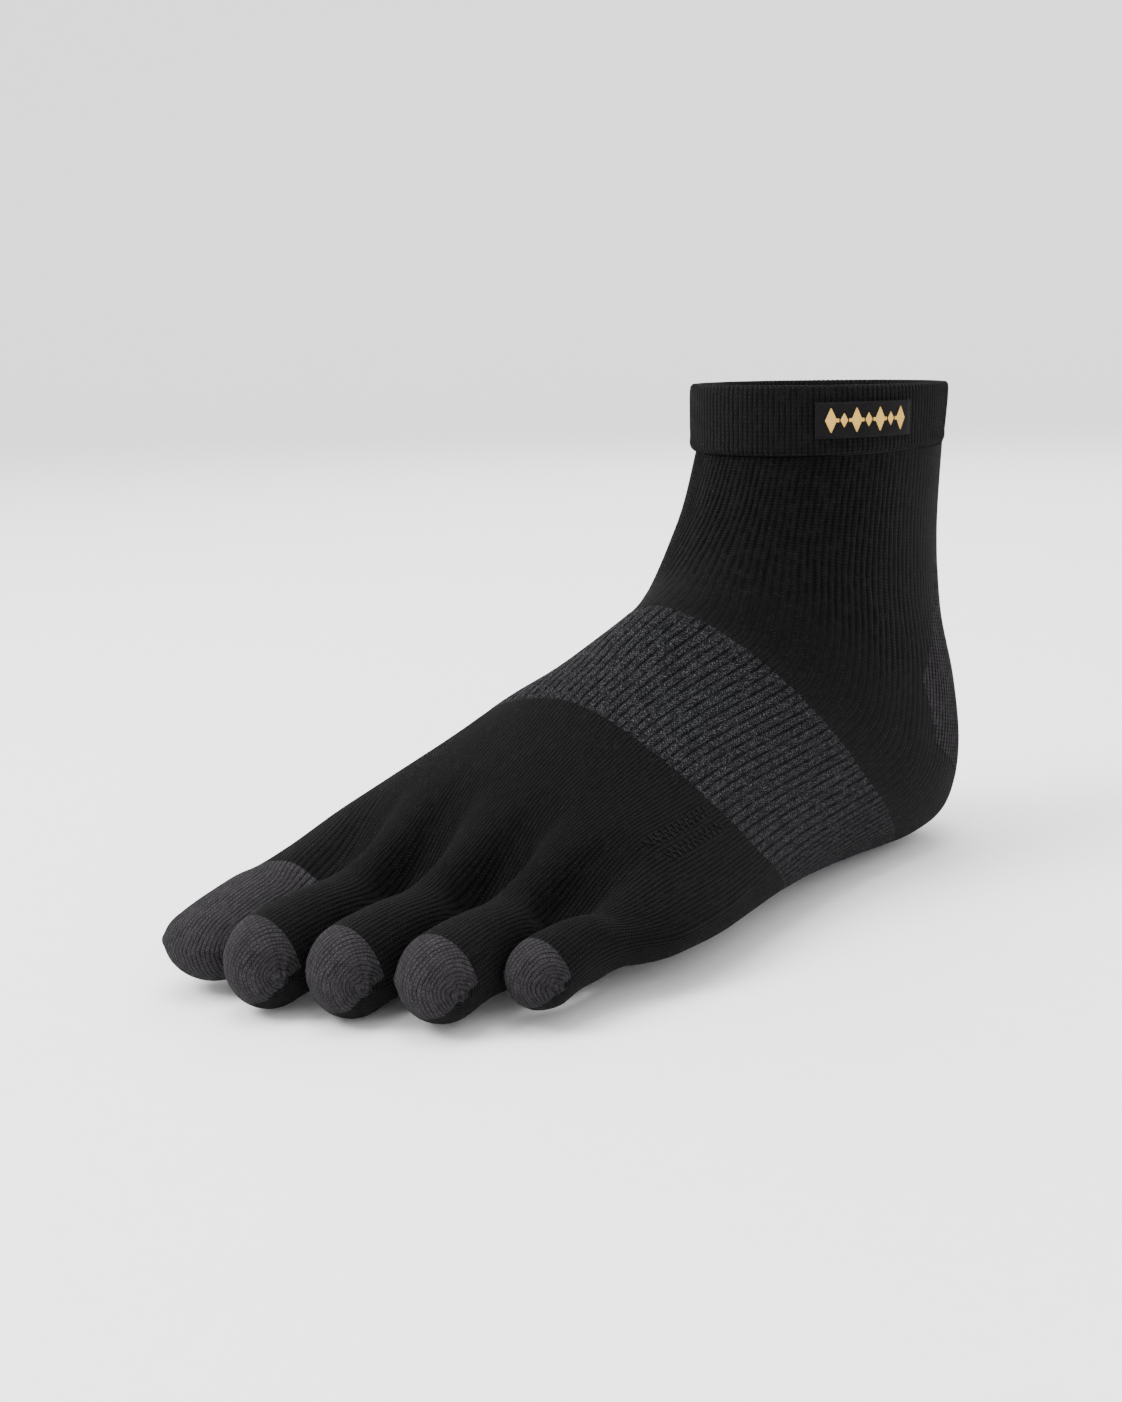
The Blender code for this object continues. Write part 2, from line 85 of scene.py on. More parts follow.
# Rings from the leg's top, under the cuff, to the toe roots.
SECTIONS = (
    #       front  f_high  back   b_high  half  middle ridge  waist  f_pow  b_pow slant
    Section(0.348, 1.427, 0.054, 1.440, 0.325, 0.02, 0.02, 0.48, 0.96, 0.98, 0.00),
    Section(0.363, 1.270, 0.056, 1.100, 0.330, 0.01, 0.01, 0.47, 0.95, 1.00, 0.00),
    Section(0.383, 1.150, 0.044, 0.780, 0.342, 0.00, 0.00, 0.46, 0.95, 0.98, 0.00),
    Section(0.409, 1.055, 0.020, 0.490, 0.350, 0.00, -0.01, 0.44, 0.95, 0.90, 0.00),
    Section(0.430, 1.000, 0.014, 0.220, 0.348, 0.00, -0.02, 0.41, 0.95, 0.82, 0.00),
    Section(0.447, 0.965, 0.045, 0.030, 0.345, 0.00, -0.03, 0.37, 0.96, 0.78, 0.00),
    Section(0.467, 0.930, 0.120, -0.025, 0.345, 0.00, -0.04, 0.33, 0.96, 0.76, 0.00),
    Section(0.500, 0.868, 0.240, -0.010, 0.360, 0.00, -0.06, 0.30, 0.97, 0.74, 0.00),
    Section(0.540, 0.800, 0.360, 0.010, 0.388, 0.01, -0.08, 0.29, 0.97, 0.73, 0.02),
    Section(0.583, 0.733, 0.460, 0.015, 0.422, 0.02, -0.11, 0.29, 0.97, 0.73, 0.05),
    Section(0.630, 0.646, 0.540, 0.008, 0.455, 0.03, -0.13, 0.31, 0.96, 0.75, 0.08),
    Section(0.680, 0.552, 0.610, 0.000, 0.487, 0.03, -0.14, 0.34, 0.94, 0.77, 0.13),
    Section(0.727, 0.463, 0.670, -0.005, 0.508, 0.02, -0.13, 0.38, 0.92, 0.79, 0.19),
    Section(0.768, 0.386, 0.720, -0.008, 0.512, 0.01, -0.10, 0.42, 0.90, 0.82, 0.25),
    Section(0.805, 0.328, 0.765, 0.010, 0.500, -0.01, -0.06, 0.46, 0.88, 0.84, 0.30),
)


class Toe(NamedTuple):
    """One toe: its ring segments, tip and form. Widths are shares of the ball's, heights of the toe's thickness."""

    name: str
    segments: int
    tip: float
    across: float
    height: float
    half_width: float
    half_height: float
    nose: float
    neck: float
    arch: float
    capped: bool


# From the outer side of the foot inwards.
TOES = (
    #   name     segments    tip  across height width  high  nose  neck  arch  capped
    Toe("little_toe", 4, 0.816, 0.412, 0.44, 0.0805, 0.36, 0.42, 0.94, 0.10, True),
    Toe("fourth_toe", 4, 0.880, 0.260, 0.44, 0.0989, 0.45, 0.46, 0.88, 0.14, True),
    Toe("third_toe", 4, 0.911, 0.055, 0.42, 0.09775, 0.48, 0.47, 0.90, 0.16, True),
    Toe("second_toe", 4, 0.941, -0.136, 0.44, 0.0989, 0.49, 0.48, 0.90, 0.16, True),
    Toe("big_toe", 6, 0.931, -0.367, 0.47, 0.12535, 0.455, 0.50, 0.94, 0.06, False),
)


class Web(NamedTuple):
    """The cloth between two toes: its place across the foot and the depth of the valley above it."""

    across: float
    dip: float


WEBS = (Web(0.31, 0.13), Web(0.13, 0.16), Web(-0.07, 0.15), Web(-0.25, 0.09))


class BandEdge(NamedTuple):
    """Where the arch band starts and ends, in table rows. Place is 0 on the instep's ridge, 1 under the sole."""

    place: float
    rear: float
    front: float


BAND_EDGES = (
    BandEdge(0.00, 5.20, 9.20),
    BandEdge(0.08, 5.45, 9.28),
    BandEdge(0.20, 5.85, 9.45),
    BandEdge(0.32, 6.12, 9.55),
    BandEdge(0.45, 6.38, 9.48),
    BandEdge(0.60, 6.50, 9.05),
    BandEdge(0.75, 6.50, 8.60),
    BandEdge(1.00, 6.50, 8.50),
)
BAND_ROWS = (6.5, 9.0)  # rows of the skin's grid between which the band lies
BAND_EASE = (2.5, 12.0)  # rows past which the grid keeps to the table

# Rows of raised zigzag in front of the band: each one's first and last course and its middle wale.
TUCK_ROWS = ((5.0, 37.0, 20.0), (6.0, 36.0, 15.5))

MERGE_DISTANCE = 2e-5  # within which the edges of two swatches are sewn together
GROOVE_SHADE = 0.22  # how dark the painted shade in a sunken line is, as a share of the knit's shade colour

LAST_ROW = len(SECTIONS) - 1
HALF = sum(toe.segments for toe in TOES) + len(WEBS)
AROUND = 2 * HALF


def eased(values: np.ndarray | float, low: float = 0.0, high: float = 1.0) -> np.ndarray | float:
    """0 below low and 1 above high, with level ends."""
    amount = np.clip((values - low) / (high - low), 0.0, 1.0)
    return amount * amount * (3.0 - 2.0 * amount)


def run_length(points: np.ndarray) -> np.ndarray:
    """The distance from the first point to each point of a line."""
    return np.concatenate([[0.0], np.cumsum(np.linalg.norm(np.diff(points, axis=0), axis=1))])


def in_every_row(line: np.ndarray, rows: int) -> np.ndarray:
    """A grid that has this line in each of its rows."""
    return np.repeat(line[None, :], rows, axis=0)


def in_every_column(line: np.ndarray, columns: int) -> np.ndarray:
    """A grid that has this line in each of its columns."""
    return np.repeat(line[:, None], columns, axis=1)


def course_numbers(points: np.ndarray, pitch: float, own: float = 0.5) -> np.ndarray:
    """The course number at each point of a grid, counted down its columns.

    Args:
        points: The grid's points, by row and column.
        pitch: The height of a course.
        own: How far each column counts its own length, where 0 counts the mean of all columns.

    Returns:
        The course numbers.
    """
    steps = np.linalg.norm(np.diff(points, axis=0), axis=2)
    lengths = np.concatenate([np.zeros((1, points.shape[1])), np.cumsum(steps, axis=0)])
    return (own * lengths + (1.0 - own) * lengths.mean(axis=1, keepdims=True)) / pitch


@dataclass(frozen=True)
class FootForm:
    """The form of the cloth on the foot, read from the section and toe tables."""

    length: float = 0.260
    ball_width: float = 0.100
    instep_height: float = 0.080
    toe_thickness: float = 0.023
    ankle_share: float = 0.21
    web_width: float = 0.0044
    slot_rows: float = 5.0
    valley_rows: float = 3.0
    valley_width: float = 1.15
    net_steps: int = 20
    toe_blend: float = 0.45
    wall: float = 0.0018

    def along(self, share: float) -> float:
        """The Y of a point this share of the foot's length in front of the heel."""
        return (self.ankle_share - share) * self.length

    def section_at(self, row: float) -> Section:
        """The section at a fractional table row, on a smooth curve through the table.

        Args:
            row: The row, 0 at the leg's top.

        Returns:
            The section there.
        """
        low = min(int(row), LAST_ROW - 1)
        part = row - low
        before, first = np.array(SECTIONS[max(low - 1, 0)]), np.array(SECTIONS[low])
        second, after = np.array(SECTIONS[low + 1]), np.array(SECTIONS[min(low + 2, LAST_ROW)])
        curve = (
            2.0 * first
            + (second - before) * part
            + (2.0 * before - 5.0 * first + 4.0 * second - after) * part**2
            + (3.0 * (first - second) + after - before) * part**3
        )
        return Section(*(0.5 * curve))

    def outline(self, section: Section, angles: np.ndarray) -> np.ndarray:
        """Points of a section's outline.

        Args:
            section: The section.
            angles: 0 is the outer side, a quarter turn is the front or top.

        Returns:
            One point for each angle.
        """
        front = np.array([
            section.ridge * self.ball_width,
            self.along(section.front),
            section.front_height * self.instep_height,
        ])
        back = np.array([0.0, self.along(section.back), section.back_height * self.instep_height])
        centre = back + (front - back) * section.waist
        centre[0] = 0.0
        sine, cosine = np.sin(angles), np.cos(angles)
        power = np.where(sine >= 0, section.front_power, section.back_power)
        lift = np.abs(sine) ** power
        reach = np.sign(cosine) * np.abs(cosine) ** power
        points = centre + np.where(sine >= 0, lift, 0.0)[:, None] * (front - centre)
        points += np.where(sine < 0, lift, 0.0)[:, None] * (back - centre)
        points[:, 0] += reach * section.half_width * self.ball_width + section.middle * self.ball_width
        points[:, 1] += section.slant * points[:, 0]
        return points

    def even_angles(self, section: Section, start: float) -> np.ndarray:
        """Angles that space a half ring's columns evenly, from start."""
        fine = np.linspace(start, start + math.pi, 181)
        run = run_length(self.outline(section, fine))
        return np.interp(np.linspace(0.0, run[-1], HALF + 1), run, fine)

    def slot_angles(self, section: Section, start: float, outward: bool) -> np.ndarray:
        """Angles that put a half ring's columns at the toe slots and the webs between them.

        Args:
            section: The section.
            start: The half ring's first angle.
            outward: Whether the half ring starts at the foot's outer side.

        Returns:
            The columns' angles.
        """
        fine = np.linspace(start, start + math.pi, 181)
        across = self.outline(section, fine)[:, 0] / self.ball_width
        counts, edges = [], [across.max()]
        half = 0.5 * self.web_width / self.ball_width
        for toe, web in zip(TOES, (*WEBS, None)):
            counts.append(toe.segments)
            if web:
                counts.append(1)
                edges.extend([web.across + half, web.across - half])
        edges.append(across.min())
        if not outward:
            counts, edges = counts[::-1], edges[::-1]
        order = np.argsort(across)
        angles = [start]
        for number, count in enumerate(counts):
            ends = np.interp([edges[number], edges[number + 1]], across[order], fine[order])
            if number == 0:
                ends[0] = start
            if number == len(counts) - 1:
                ends[1] = start + math.pi
            angles.extend(np.linspace(ends[0], ends[1], count + 1)[1:])
        return np.array(angles)

    def table_ring(self, row: float, columns: np.ndarray) -> np.ndarray:
        """One ring of the skin at a table row.

        Args:
            row: The fractional table row.
            columns: Places round the ring, from 0 at the outer side to AROUND, back at the same place.

        Returns:
            One point for each column.
        """
        section = self.section_at(row)
        share = eased(1.0 - (LAST_ROW - row) / self.slot_rows)
        top = self.even_angles(section, 0.0) * (1 - share) + self.slot_angles(section, 0.0, True) * share
        under = self.even_angles(section, math.pi) * (1 - share)
        under += self.slot_angles(section, math.pi, False) * share
        angles = np.concatenate([top[:-1], under])
        points = self.outline(section, np.interp(columns, np.arange(AROUND + 1), angles))
        fade = eased(1.0 - (LAST_ROW - row) / self.valley_rows)
        edge = 0
        for toe, web in zip(TOES, WEBS):
            edge += toe.segments
            away = np.abs(columns - (edge + 0.5)) / self.valley_width
            dip = web.dip * self.instep_height * fade / (1.0 + away**4)
            points[:, 2] -= dip * np.clip(columns, 0.0, 1.0) * np.clip(HALF - columns, 0.0, 1.0)
            edge += 1
        return points

    @cached_property
    def net(self) -> np.ndarray:
        """The skin at close table rows and columns."""
        rows = np.linspace(0.0, LAST_ROW, LAST_ROW * self.net_steps + 1)
        columns = np.linspace(0.0, AROUND, AROUND * self.net_steps + 1)
        return np.array([self.table_ring(row, columns) for row in rows])

    def drawn_rows(self, row: float, columns: np.ndarray) -> np.ndarray:
        """The table rows at which a ring's points are drawn, so that the band's edges follow their table."""
        away = np.abs(columns - 0.5 * HALF)
        place = np.minimum(away, AROUND - away) / HALF
        edges = np.array(BAND_EDGES)
        rear, front = (np.interp(place, edges[:, 0], edges[:, side]) for side in (1, 2))
        stops = (0.0, BAND_EASE[0], *BAND_ROWS, BAND_EASE[1], LAST_ROW)
        drawn = (0.0, BAND_EASE[0], rear, front, BAND_EASE[1], LAST_ROW)
        step = min(bisect_right(stops, row), len(stops) - 1) - 1
        part = (row - stops[step]) / (stops[step + 1] - stops[step])
        return drawn[step] * (1.0 - part) + drawn[step + 1] * part + 0.0 * columns

    def ring(self, row: float, columns: np.ndarray) -> np.ndarray:
        """One course of the skin, read from its net.

        Args:
            row: The fractional row of the skin's grid.
            columns: Places round the ring, from 0 at the outer side to AROUND, back at the same place.

        Returns:
            One point for each column.
        """
        rows, across = self.drawn_rows(row, columns) * self.net_steps, columns * self.net_steps
        low_row = np.minimum(rows.astype(int), self.net.shape[0] - 2)
        low_column = np.minimum(across.astype(int), self.net.shape[1] - 2)
        down, over = (rows - low_row)[:, None], (across - low_column)[:, None]
        upper, lower = (
            self.net[low, low_column] * (1.0 - over) + self.net[low, low_column + 1] * over
            for low in (low_row, low_row + 1)
        )
        return upper * (1.0 - down) + lower * down

    def rows_between(self, first: float, last: float, steps: int) -> np.ndarray:
        """Rows that are evenly spaced on the cloth, from first to last."""
        fine = np.linspace(first, last, 97)
        rings = np.array([self.ring(row, np.arange(AROUND)) for row in fine])
        gaps = np.linalg.norm(np.diff(rings, axis=0), axis=2).mean(axis=1)
        run = np.concatenate([[0.0], np.cumsum(gaps)])
        return np.interp(np.linspace(0.0, run[-1], steps + 1), run, fine)

    def slot_start(self, number: int) -> int:
        """The first column of a toe's slot."""
        return sum(toe.segments + 1 for toe in TOES[:number])

    def slot_line(self, number: int, steps: np.ndarray, under: bool) -> np.ndarray:
        """The upper or lower edge of a toe's slot, with the halves of the webs beside it.

        Args:
            number: The toe, counted from the outer side.
            steps: Places along the edge, in columns from its outer end.
            under: Whether it is the lower edge.

        Returns:
            One point for each step.
        """
        outer, inner = number > 0, number < len(TOES) - 1
        count = TOES[number].segments
        columns = self.slot_start(number) + np.clip(steps - outer, 0, count)
        above, below = self.ring(LAST_ROW, columns), self.ring(LAST_ROW, AROUND - columns)
        reach = np.zeros(len(steps))
        if outer:
            reach = np.maximum(reach, 1.0 - steps)
        if inner:
            reach = np.maximum(reach, steps - (count + outer))
        edge = below if under else above
        return edge + (0.5 * (above + below) - edge) * reach[:, None]

    def slot_steps(self, number: int) -> int:
        """The columns along a toe's upper line, with its halves of the webs."""
        return TOES[number].segments + (number > 0) + (number < len(TOES) - 1)

    def toe_frame(self, toe: Toe, root: np.ndarray, amount: float) -> tuple[np.ndarray, ...]:
        """The centre, heading, side and up directions of a toe's cross section.

        Args:
            toe: The toe.
            root: The middle of its slot.
            amount: The share of the toe's length.

        Returns:
            Centre, heading, side and up.
        """
        tip = np.array([toe.across * self.ball_width, self.along(toe.tip), toe.height * self.toe_thickness])
        middle = 0.5 * (root + tip)
        middle[2] += toe.arch * self.toe_thickness + 0.5 * (max(root[2], tip[2]) - middle[2])
        centre = (1 - amount) ** 2 * root + 2 * amount * (1 - amount) * middle + amount**2 * tip
        heading = 2 * (1 - amount) * (middle - root) + 2 * amount * (tip - middle)
        heading = heading / np.linalg.norm(heading)
        side = np.cross(heading, [0.0, 0.0, 1.0])
        side = -side / np.linalg.norm(side)
        up = np.cross(side, heading)
        return centre, heading, side, up if up[2] > 0 else -up


FOOT = FootForm()


class Signal:
    """A number that varies over a surface, so that a pattern reads as an expression."""

    def __init__(self, bench: "DyeBench", socket: bpy.types.NodeSocket) -> None:
        """Keeps the socket that gives the number."""
        self.bench = bench
        self.socket = socket

    def math(self, operation: str, *values: "Signal | float") -> "Signal":
        """This number put through a Math node with the other values."""
        inputs = dict(enumerate((self, *values)))
        return self.bench.node("ShaderNodeMath", {"operation": operation}, inputs)

    def __add__(self, other: "Signal | float") -> "Signal":
        """Sum."""
        return self.math("ADD", other)

    def __radd__(self, other: float) -> "Signal":
        """Sum from the right."""
        return self.math("ADD", other)

    def __sub__(self, other: "Signal | float") -> "Signal":
        """Difference."""
        return self.math("SUBTRACT", other)

    def __rsub__(self, other: float) -> "Signal":
        """Difference from a plain number."""
        return (self * -1.0) + other

    def __mul__(self, other: "Signal | float") -> "Signal":
        """Product."""
        return self.math("MULTIPLY", other)

    def __rmul__(self, other: float) -> "Signal":
        """Product from the right."""
        return self.math("MULTIPLY", other)

    def part(self) -> "Signal":
        """What is left past the whole number below."""
        return self.math("FRACT")

    def whole(self) -> "Signal":
        """The whole number below."""
        return self.math("FLOOR")

    def wave(self) -> "Signal":
        """0 at whole numbers and 1 halfway between them."""
        return (self.part() * math.pi).math("SINE")

    def between(self, low: float, high: float) -> "Signal":
        """0 below low and 1 above high, with level ends."""
        inputs = {"Value": self, "From Min": low, "From Max": high, "To Min": 0.0, "To Max": 1.0}
        return self.bench.node("ShaderNodeMapRange", {"interpolation_type": "SMOOTHSTEP"}, inputs)


Colour = tuple[float, float, float, float]


class DyeBench:
    """Builds the nodes of one material."""

    def __init__(self, name: str) -> None:
        """Makes a material of this name with its shader."""
        self.material = bpy.data.materials.new(name)
        self.material.use_nodes = True
        self.tree = self.material.node_tree
        self.shader = self.tree.nodes["Principled BSDF"]

    def node(self, kind: str, settings: dict | None = None, inputs: dict | None = None, output: int = 0) -> Signal:
        """Adds a node.

        Args:
            kind: The node's type.
            settings: Its settings, made first.
            inputs: Values or signals for its sockets, by name or number.
            output: The output wanted.

        Returns:
            The signal of that output.
        """
        made = self.tree.nodes.new(kind)
        for key, value in (settings or {}).items():
            setattr(made, key, value)
        for key, value in (inputs or {}).items():
            self.feed(made.inputs[key], value)
        return Signal(self, made.outputs[output])

    def feed(self, socket: bpy.types.NodeSocket, value: object) -> None:
        """Links a signal to a socket, or sets its value."""
        if isinstance(value, Signal):
            self.tree.links.new(value.socket, socket)
        else:
            socket.default_value = value

    def blend(self, first: "Signal | Colour", second: "Signal | Colour", amount: Signal) -> Signal:
        """A colour from first to second by this amount."""
        return self.node("ShaderNodeMix", {"data_type": "RGBA"}, {0: amount, 6: first, 7: second}, 2)

    def stitches(self) -> tuple[Signal, Signal]:
        """The wale and course numbers of the surface."""
        place = self.node("ShaderNodeUVMap", {"uv_map": "stitches"})
        apart = self.node("ShaderNodeSeparateXYZ", inputs={0: place})
        return apart, Signal(self, apart.socket.node.outputs[1])

    def pair(self, across: "Signal | float", along: "Signal | float") -> Signal:
        """A vector of two numbers."""
        return self.node("ShaderNodeCombineXYZ", inputs={0: across, 1: along})

    def chance(self, place: Signal) -> Signal:
        """A number from 0 to 1 that is the same all over a cell."""
        return self.node("ShaderNodeTexWhiteNoise", {"noise_dimensions": "2D"}, {"Vector": place})

    def grain(self, scale: float, detail: float = 2.0, place: Signal | None = None) -> Signal:
        """Soft noise, on the object's own place unless another is given."""
        if place is None:
            place = self.node("ShaderNodeTexCoord", output=3)
        return self.node("ShaderNodeTexNoise", inputs={"Vector": place, "Scale": scale, "Detail": detail})

    def finish(self, colour: Signal, roughness: "Signal | float", height: Signal, depth: float) -> None:
        """Feeds the shader with a colour, a roughness and a height in shares of depth."""
        self.feed(self.shader.inputs["Base Color"], colour)
        self.feed(self.shader.inputs["Roughness"], roughness)
        bump = self.node("ShaderNodeBump", inputs={"Height": height, "Distance": depth, "Strength": 1.0})
        self.feed(self.shader.inputs["Normal"], bump)

    def cloth(self, sheen: float, tint: Colour) -> None:
        """Sets what is the same all over a cloth."""
        self.shader.inputs["Metallic"].default_value = 0.0
        self.shader.inputs["Specular IOR Level"].default_value = 0.03
        self.shader.inputs["Sheen Weight"].default_value = sheen
        self.shader.inputs["Sheen Roughness"].default_value = 0.55
        self.shader.inputs["Sheen Tint"].default_value = tint


class Groove(Enum):
    """Where the sunken lines between ribs lie."""

    EVERY_WALE = 1
    EVERY_OTHER_WALE = 2


@dataclass(frozen=True)
class KnitFinish:
    """A knitted finish: its yarns and how its stitches stand."""

    name: str
    # shade is painted shade between the yarn legs and the dark end of the yarn's random tone; yarn is the yarn's own
    # colour, with a painted highlight where its legs stand highest.
    shade: Colour
    yarn: Colour
    fleck: Colour = (0.02, 0.02, 0.02, 1.0)
    fleck_share: float = 0.0
    groove: Groove = Groove.EVERY_WALE
    groove_width: float = 0.30
    groove_painted_shade: float = 0.6
    unevenness: float = 0.25
    stitch_depth: float = 0.00035
    sheen: float = 0.02
    melange: float = 0.15
    patchiness: float = 0.65
    rungs: float = 0.6
    tucked: bool = False

    def material(self) -> bpy.types.Material:
        """Makes the material: slanted yarn legs with painted shade between them and a painted highlight on them,
        sunken lines darkened with painted shade and crossed by rungs, flecks and fuzz.
        """
        bench = DyeBench(self.name)
        wale, course = bench.stitches()
        side = (wale.part() - 0.5).math("ABSOLUTE") * 2.0
        slanted = course - side * 0.8
        leg = slanted.wave().math("POWER", 0.75)
        across = (side * math.pi).math("SINE").math("ABSOLUTE").math("POWER", 0.6)
        fibre = bench.grain(2600.0, 2.0)
        uneven = bench.grain(55.0, 2.0)
        step = 1.0 / self.groove.value
        turn_count = wale * step
        turn = turn_count.part()
        near = (turn - 0.5).math("ABSOLUTE") * 2.0
        width = self.groove_width * step * 2.0
        patchy = bench.grain(1.0, 2.0, bench.pair((turn_count + 0.5).whole() * 3.7, course * 0.22))
        line = near.between(1.0 - width, 1.0 - width * 0.2)
        line = line * (patchy.between(0.30, 0.55) * self.patchiness + (1.0 - self.patchiness))
        rung = course.wave().math("POWER", 3.0)
        quiet = bench.node("ShaderNodeAttribute", {"attribute_name": "quiet"}, output=2)
        # Sunken lines, and fine lines at each half wale where the ribs flatten, are painted shade, broken where the
        # rungs of yarn cross them.
        half_turn = ((turn_count * 2.0).part() - 0.5).math("ABSOLUTE") * 2.0
        fine_line = half_turn.between(0.35, 0.95) * quiet * 0.55
        groove_shade_mask = (line * (1.0 - quiet * 0.65)).math("MAXIMUM", fine_line) * (1.0 - rung * self.rungs)
        stitch = leg * (0.35 + 0.65 * across)
        cell = bench.pair((wale * 2.0).whole(), slanted.whole())
        chance = bench.chance(cell)
        drift = uneven * self.unevenness + (1.0 - self.unevenness * 0.5)
        # The stitch term paints shade between the yarn legs and a highlight on their crowns; the chance and fibre
        # terms are the yarn's own random tone.
        light = stitch * (0.80 - 0.35 * self.melange) + chance * (0.08 + 0.5 * self.melange) + (fibre - 0.5) * 0.4
        colour = bench.blend(self.shade, self.yarn, light * drift)
        if self.fleck_share > 0.0:
            strand = bench.chance(bench.pair((wale * 5.0).whole(), (slanted * 3.3).whole()))
            mask = (strand * 0.75 + fibre * 0.4).between(0.75 - self.fleck_share, 1.05 - self.fleck_share)
            colour = bench.blend(colour, self.fleck, mask * (0.35 + 0.65 * stitch))
        # The colour of the painted shade in the sunken lines and round the raised zigzags.
        dark = tuple(GROOVE_SHADE * part for part in self.shade[:3]) + (1.0,)
        colour = bench.blend(colour, dark, groove_shade_mask * self.groove_painted_shade)
        height = stitch * (1.0 - line * 0.7) + (fibre - 0.5) * 0.35
        if self.tucked:
            raised = self.tuck_rows(wale, course)
            # Painted shade round the flanks of the raised zigzag stitches.
            colour = bench.blend(colour, dark, raised.between(0.02, 0.35) * (1.0 - raised) * 2.2)
            height = height + raised * 2.4
        bench.finish(colour, 0.80 + 0.15 * fibre, height, self.stitch_depth)
        bench.cloth(self.sheen, (0.75, 0.76, 0.80, 1.0))
        return bench.material

    def tuck_rows(self, wale: Signal, course: Signal) -> Signal:
        """Two rows of raised zigzag stitches in the yarn's own colour, on the outer side in front of the band."""
        rows = None
        for first, last, middle in TUCK_ROWS:
            zigzag = ((course * 0.36).part() - 0.5).math("ABSOLUTE") * 4.0 - 1.0
            away = ((wale - middle) - zigzag).math("ABSOLUTE")
            row = (1.0 - away.between(0.35, 1.1)) * course.between(first, first + 0.5)
            row = row * (1.0 - course.between(last - 0.5, last))
            rows = row if rows is None else rows.math("MAXIMUM", row)
        return rows


BLACK_KNIT = KnitFinish(
    "black_knit",
    shade=(0.0004, 0.0004, 0.0004, 1.0),
    yarn=(0.0076, 0.0076, 0.0078, 1.0),
    groove_width=0.56,
    groove_painted_shade=1.0,
    unevenness=0.4,
    patchiness=0.8,
    rungs=0.85,
)
BLACK_FOOT = KnitFinish(
    "black_fine_knit",
    shade=(0.0004, 0.0004, 0.0004, 1.0),
    yarn=(0.0066, 0.0066, 0.0068, 1.0),
    groove_width=0.42,
    groove_painted_shade=0.92,
    stitch_depth=0.00022,
    tucked=True,
)
BLACK_RIB = KnitFinish(
    "black_rib",
    shade=(0.0006, 0.0006, 0.0006, 1.0),
    yarn=(0.0082, 0.0082, 0.0082, 1.0),
    groove_width=0.40,
    groove_painted_shade=0.85,
    unevenness=0.4,
)
HEATHER_RIB = KnitFinish(
    "heather_rib",
    shade=(0.0018, 0.0018, 0.0020, 1.0),
    yarn=(0.0082, 0.0082, 0.0090, 1.0),
    fleck=(0.053, 0.053, 0.058, 1.0),
    fleck_share=0.13,
    groove=Groove.EVERY_OTHER_WALE,
    groove_width=0.50,
    groove_painted_shade=1.0,
    unevenness=0.6,
    melange=0.25,
    patchiness=0.75,
    rungs=0.3,
)
GREY_KNIT = KnitFinish(
    "grey_knit",
    shade=(0.0010, 0.0009, 0.0010, 1.0),
    yarn=(0.047, 0.0430, 0.0475, 1.0),
    groove_width=0.34,
    groove_painted_shade=0.82,
    unevenness=0.4,
    melange=0.45,
    patchiness=0.6,
)
# The heel's grey is a little darker than the toes' grey: painted shade on the heel. It also has deeper grooves and
# stitches.
GREY_HEEL_IN_SHADE = KnitFinish(
    "grey_heel_knit_in_shade",
    shade=(0.0008, 0.0007, 0.0008, 1.0),
    yarn=(0.044, 0.0402, 0.0444, 1.0),
    groove_width=0.50,
    groove_painted_shade=1.0,
    unevenness=0.6,
    stitch_depth=0.00050,
    melange=0.4,
    patchiness=0.5,
)


@dataclass(frozen=True)
class WovenFinish:
    """A narrow satin-woven tape."""

    name: str = "woven_label"
    # The darker colour is painted shade at the edges of each thread and the lighter one a painted highlight on its
    # crown, on warp and weft alike.
    warp: Colour = (0.0015, 0.0014, 0.0016, 1.0)
    weft: Colour = (0.0090, 0.0082, 0.0090, 1.0)
    depth: float = 0.00012

    def material(self) -> bpy.types.Material:
        """Makes the material: fine warp threads crossed by a stepped weft, with painted shade at each thread's edges
        and a painted highlight on its crown.
        """
        bench = DyeBench(self.name)
        across, along = bench.stitches()
        warp = across.wave()
        pick = (along + (across.whole() * 0.4)).wave()
        over = (across.whole() * 0.2 + along.whole() * 0.4).part().between(0.5, 0.7)
        fibre = bench.grain(3200.0)
        thread = over * warp + (1.0 - over) * pick
        # Darker at each thread's edges and lighter on its crown: painted shade and painted highlight; the fibre term
        # is the yarn's random tone.
        colour = bench.blend(self.warp, self.weft, thread * 0.8 + (fibre - 0.5) * 0.5 + 0.1)
        bench.finish(colour, 0.52 + 0.2 * fibre, thread, self.depth)
        bench.cloth(0.02, (0.8, 0.8, 0.8, 1.0))
        return bench.material


@dataclass(frozen=True)
class ThreadFinish:
    """Glossy gold thread, laid side by side."""

    name: str = "gold_thread"
    # The gold runs from painted shade between the threads to a painted highlight on their crowns.
    shaded_gold: Colour = (0.22, 0.10, 0.015, 1.0)
    highlit_gold: Colour = (0.74, 0.46, 0.11, 1.0)
    depth: float = 0.00010

    def material(self) -> bpy.types.Material:
        """Makes the material: threads with a dark line of painted shade between them and a painted highlight on
        their crowns and along their twist.
        """
        bench = DyeBench(self.name)
        across, along = bench.stitches()
        thread = across.wave().math("POWER", 0.6)
        twist = (along + across.part() * 0.9).wave()
        fibre = bench.grain(2400.0)
        # Painted shade between the threads and a painted highlight on their crowns and twist; the fibre term is the
        # thread's random tone.
        light = thread * 0.65 + twist * 0.18 + fibre * 0.35 - 0.1
        colour = bench.blend(self.shaded_gold, self.highlit_gold, light)
        bench.finish(colour, 0.36 + 0.2 * fibre, thread + twist * 0.25, self.depth)
        bench.cloth(0.0, (1.0, 1.0, 1.0, 1.0))
        return bench.material


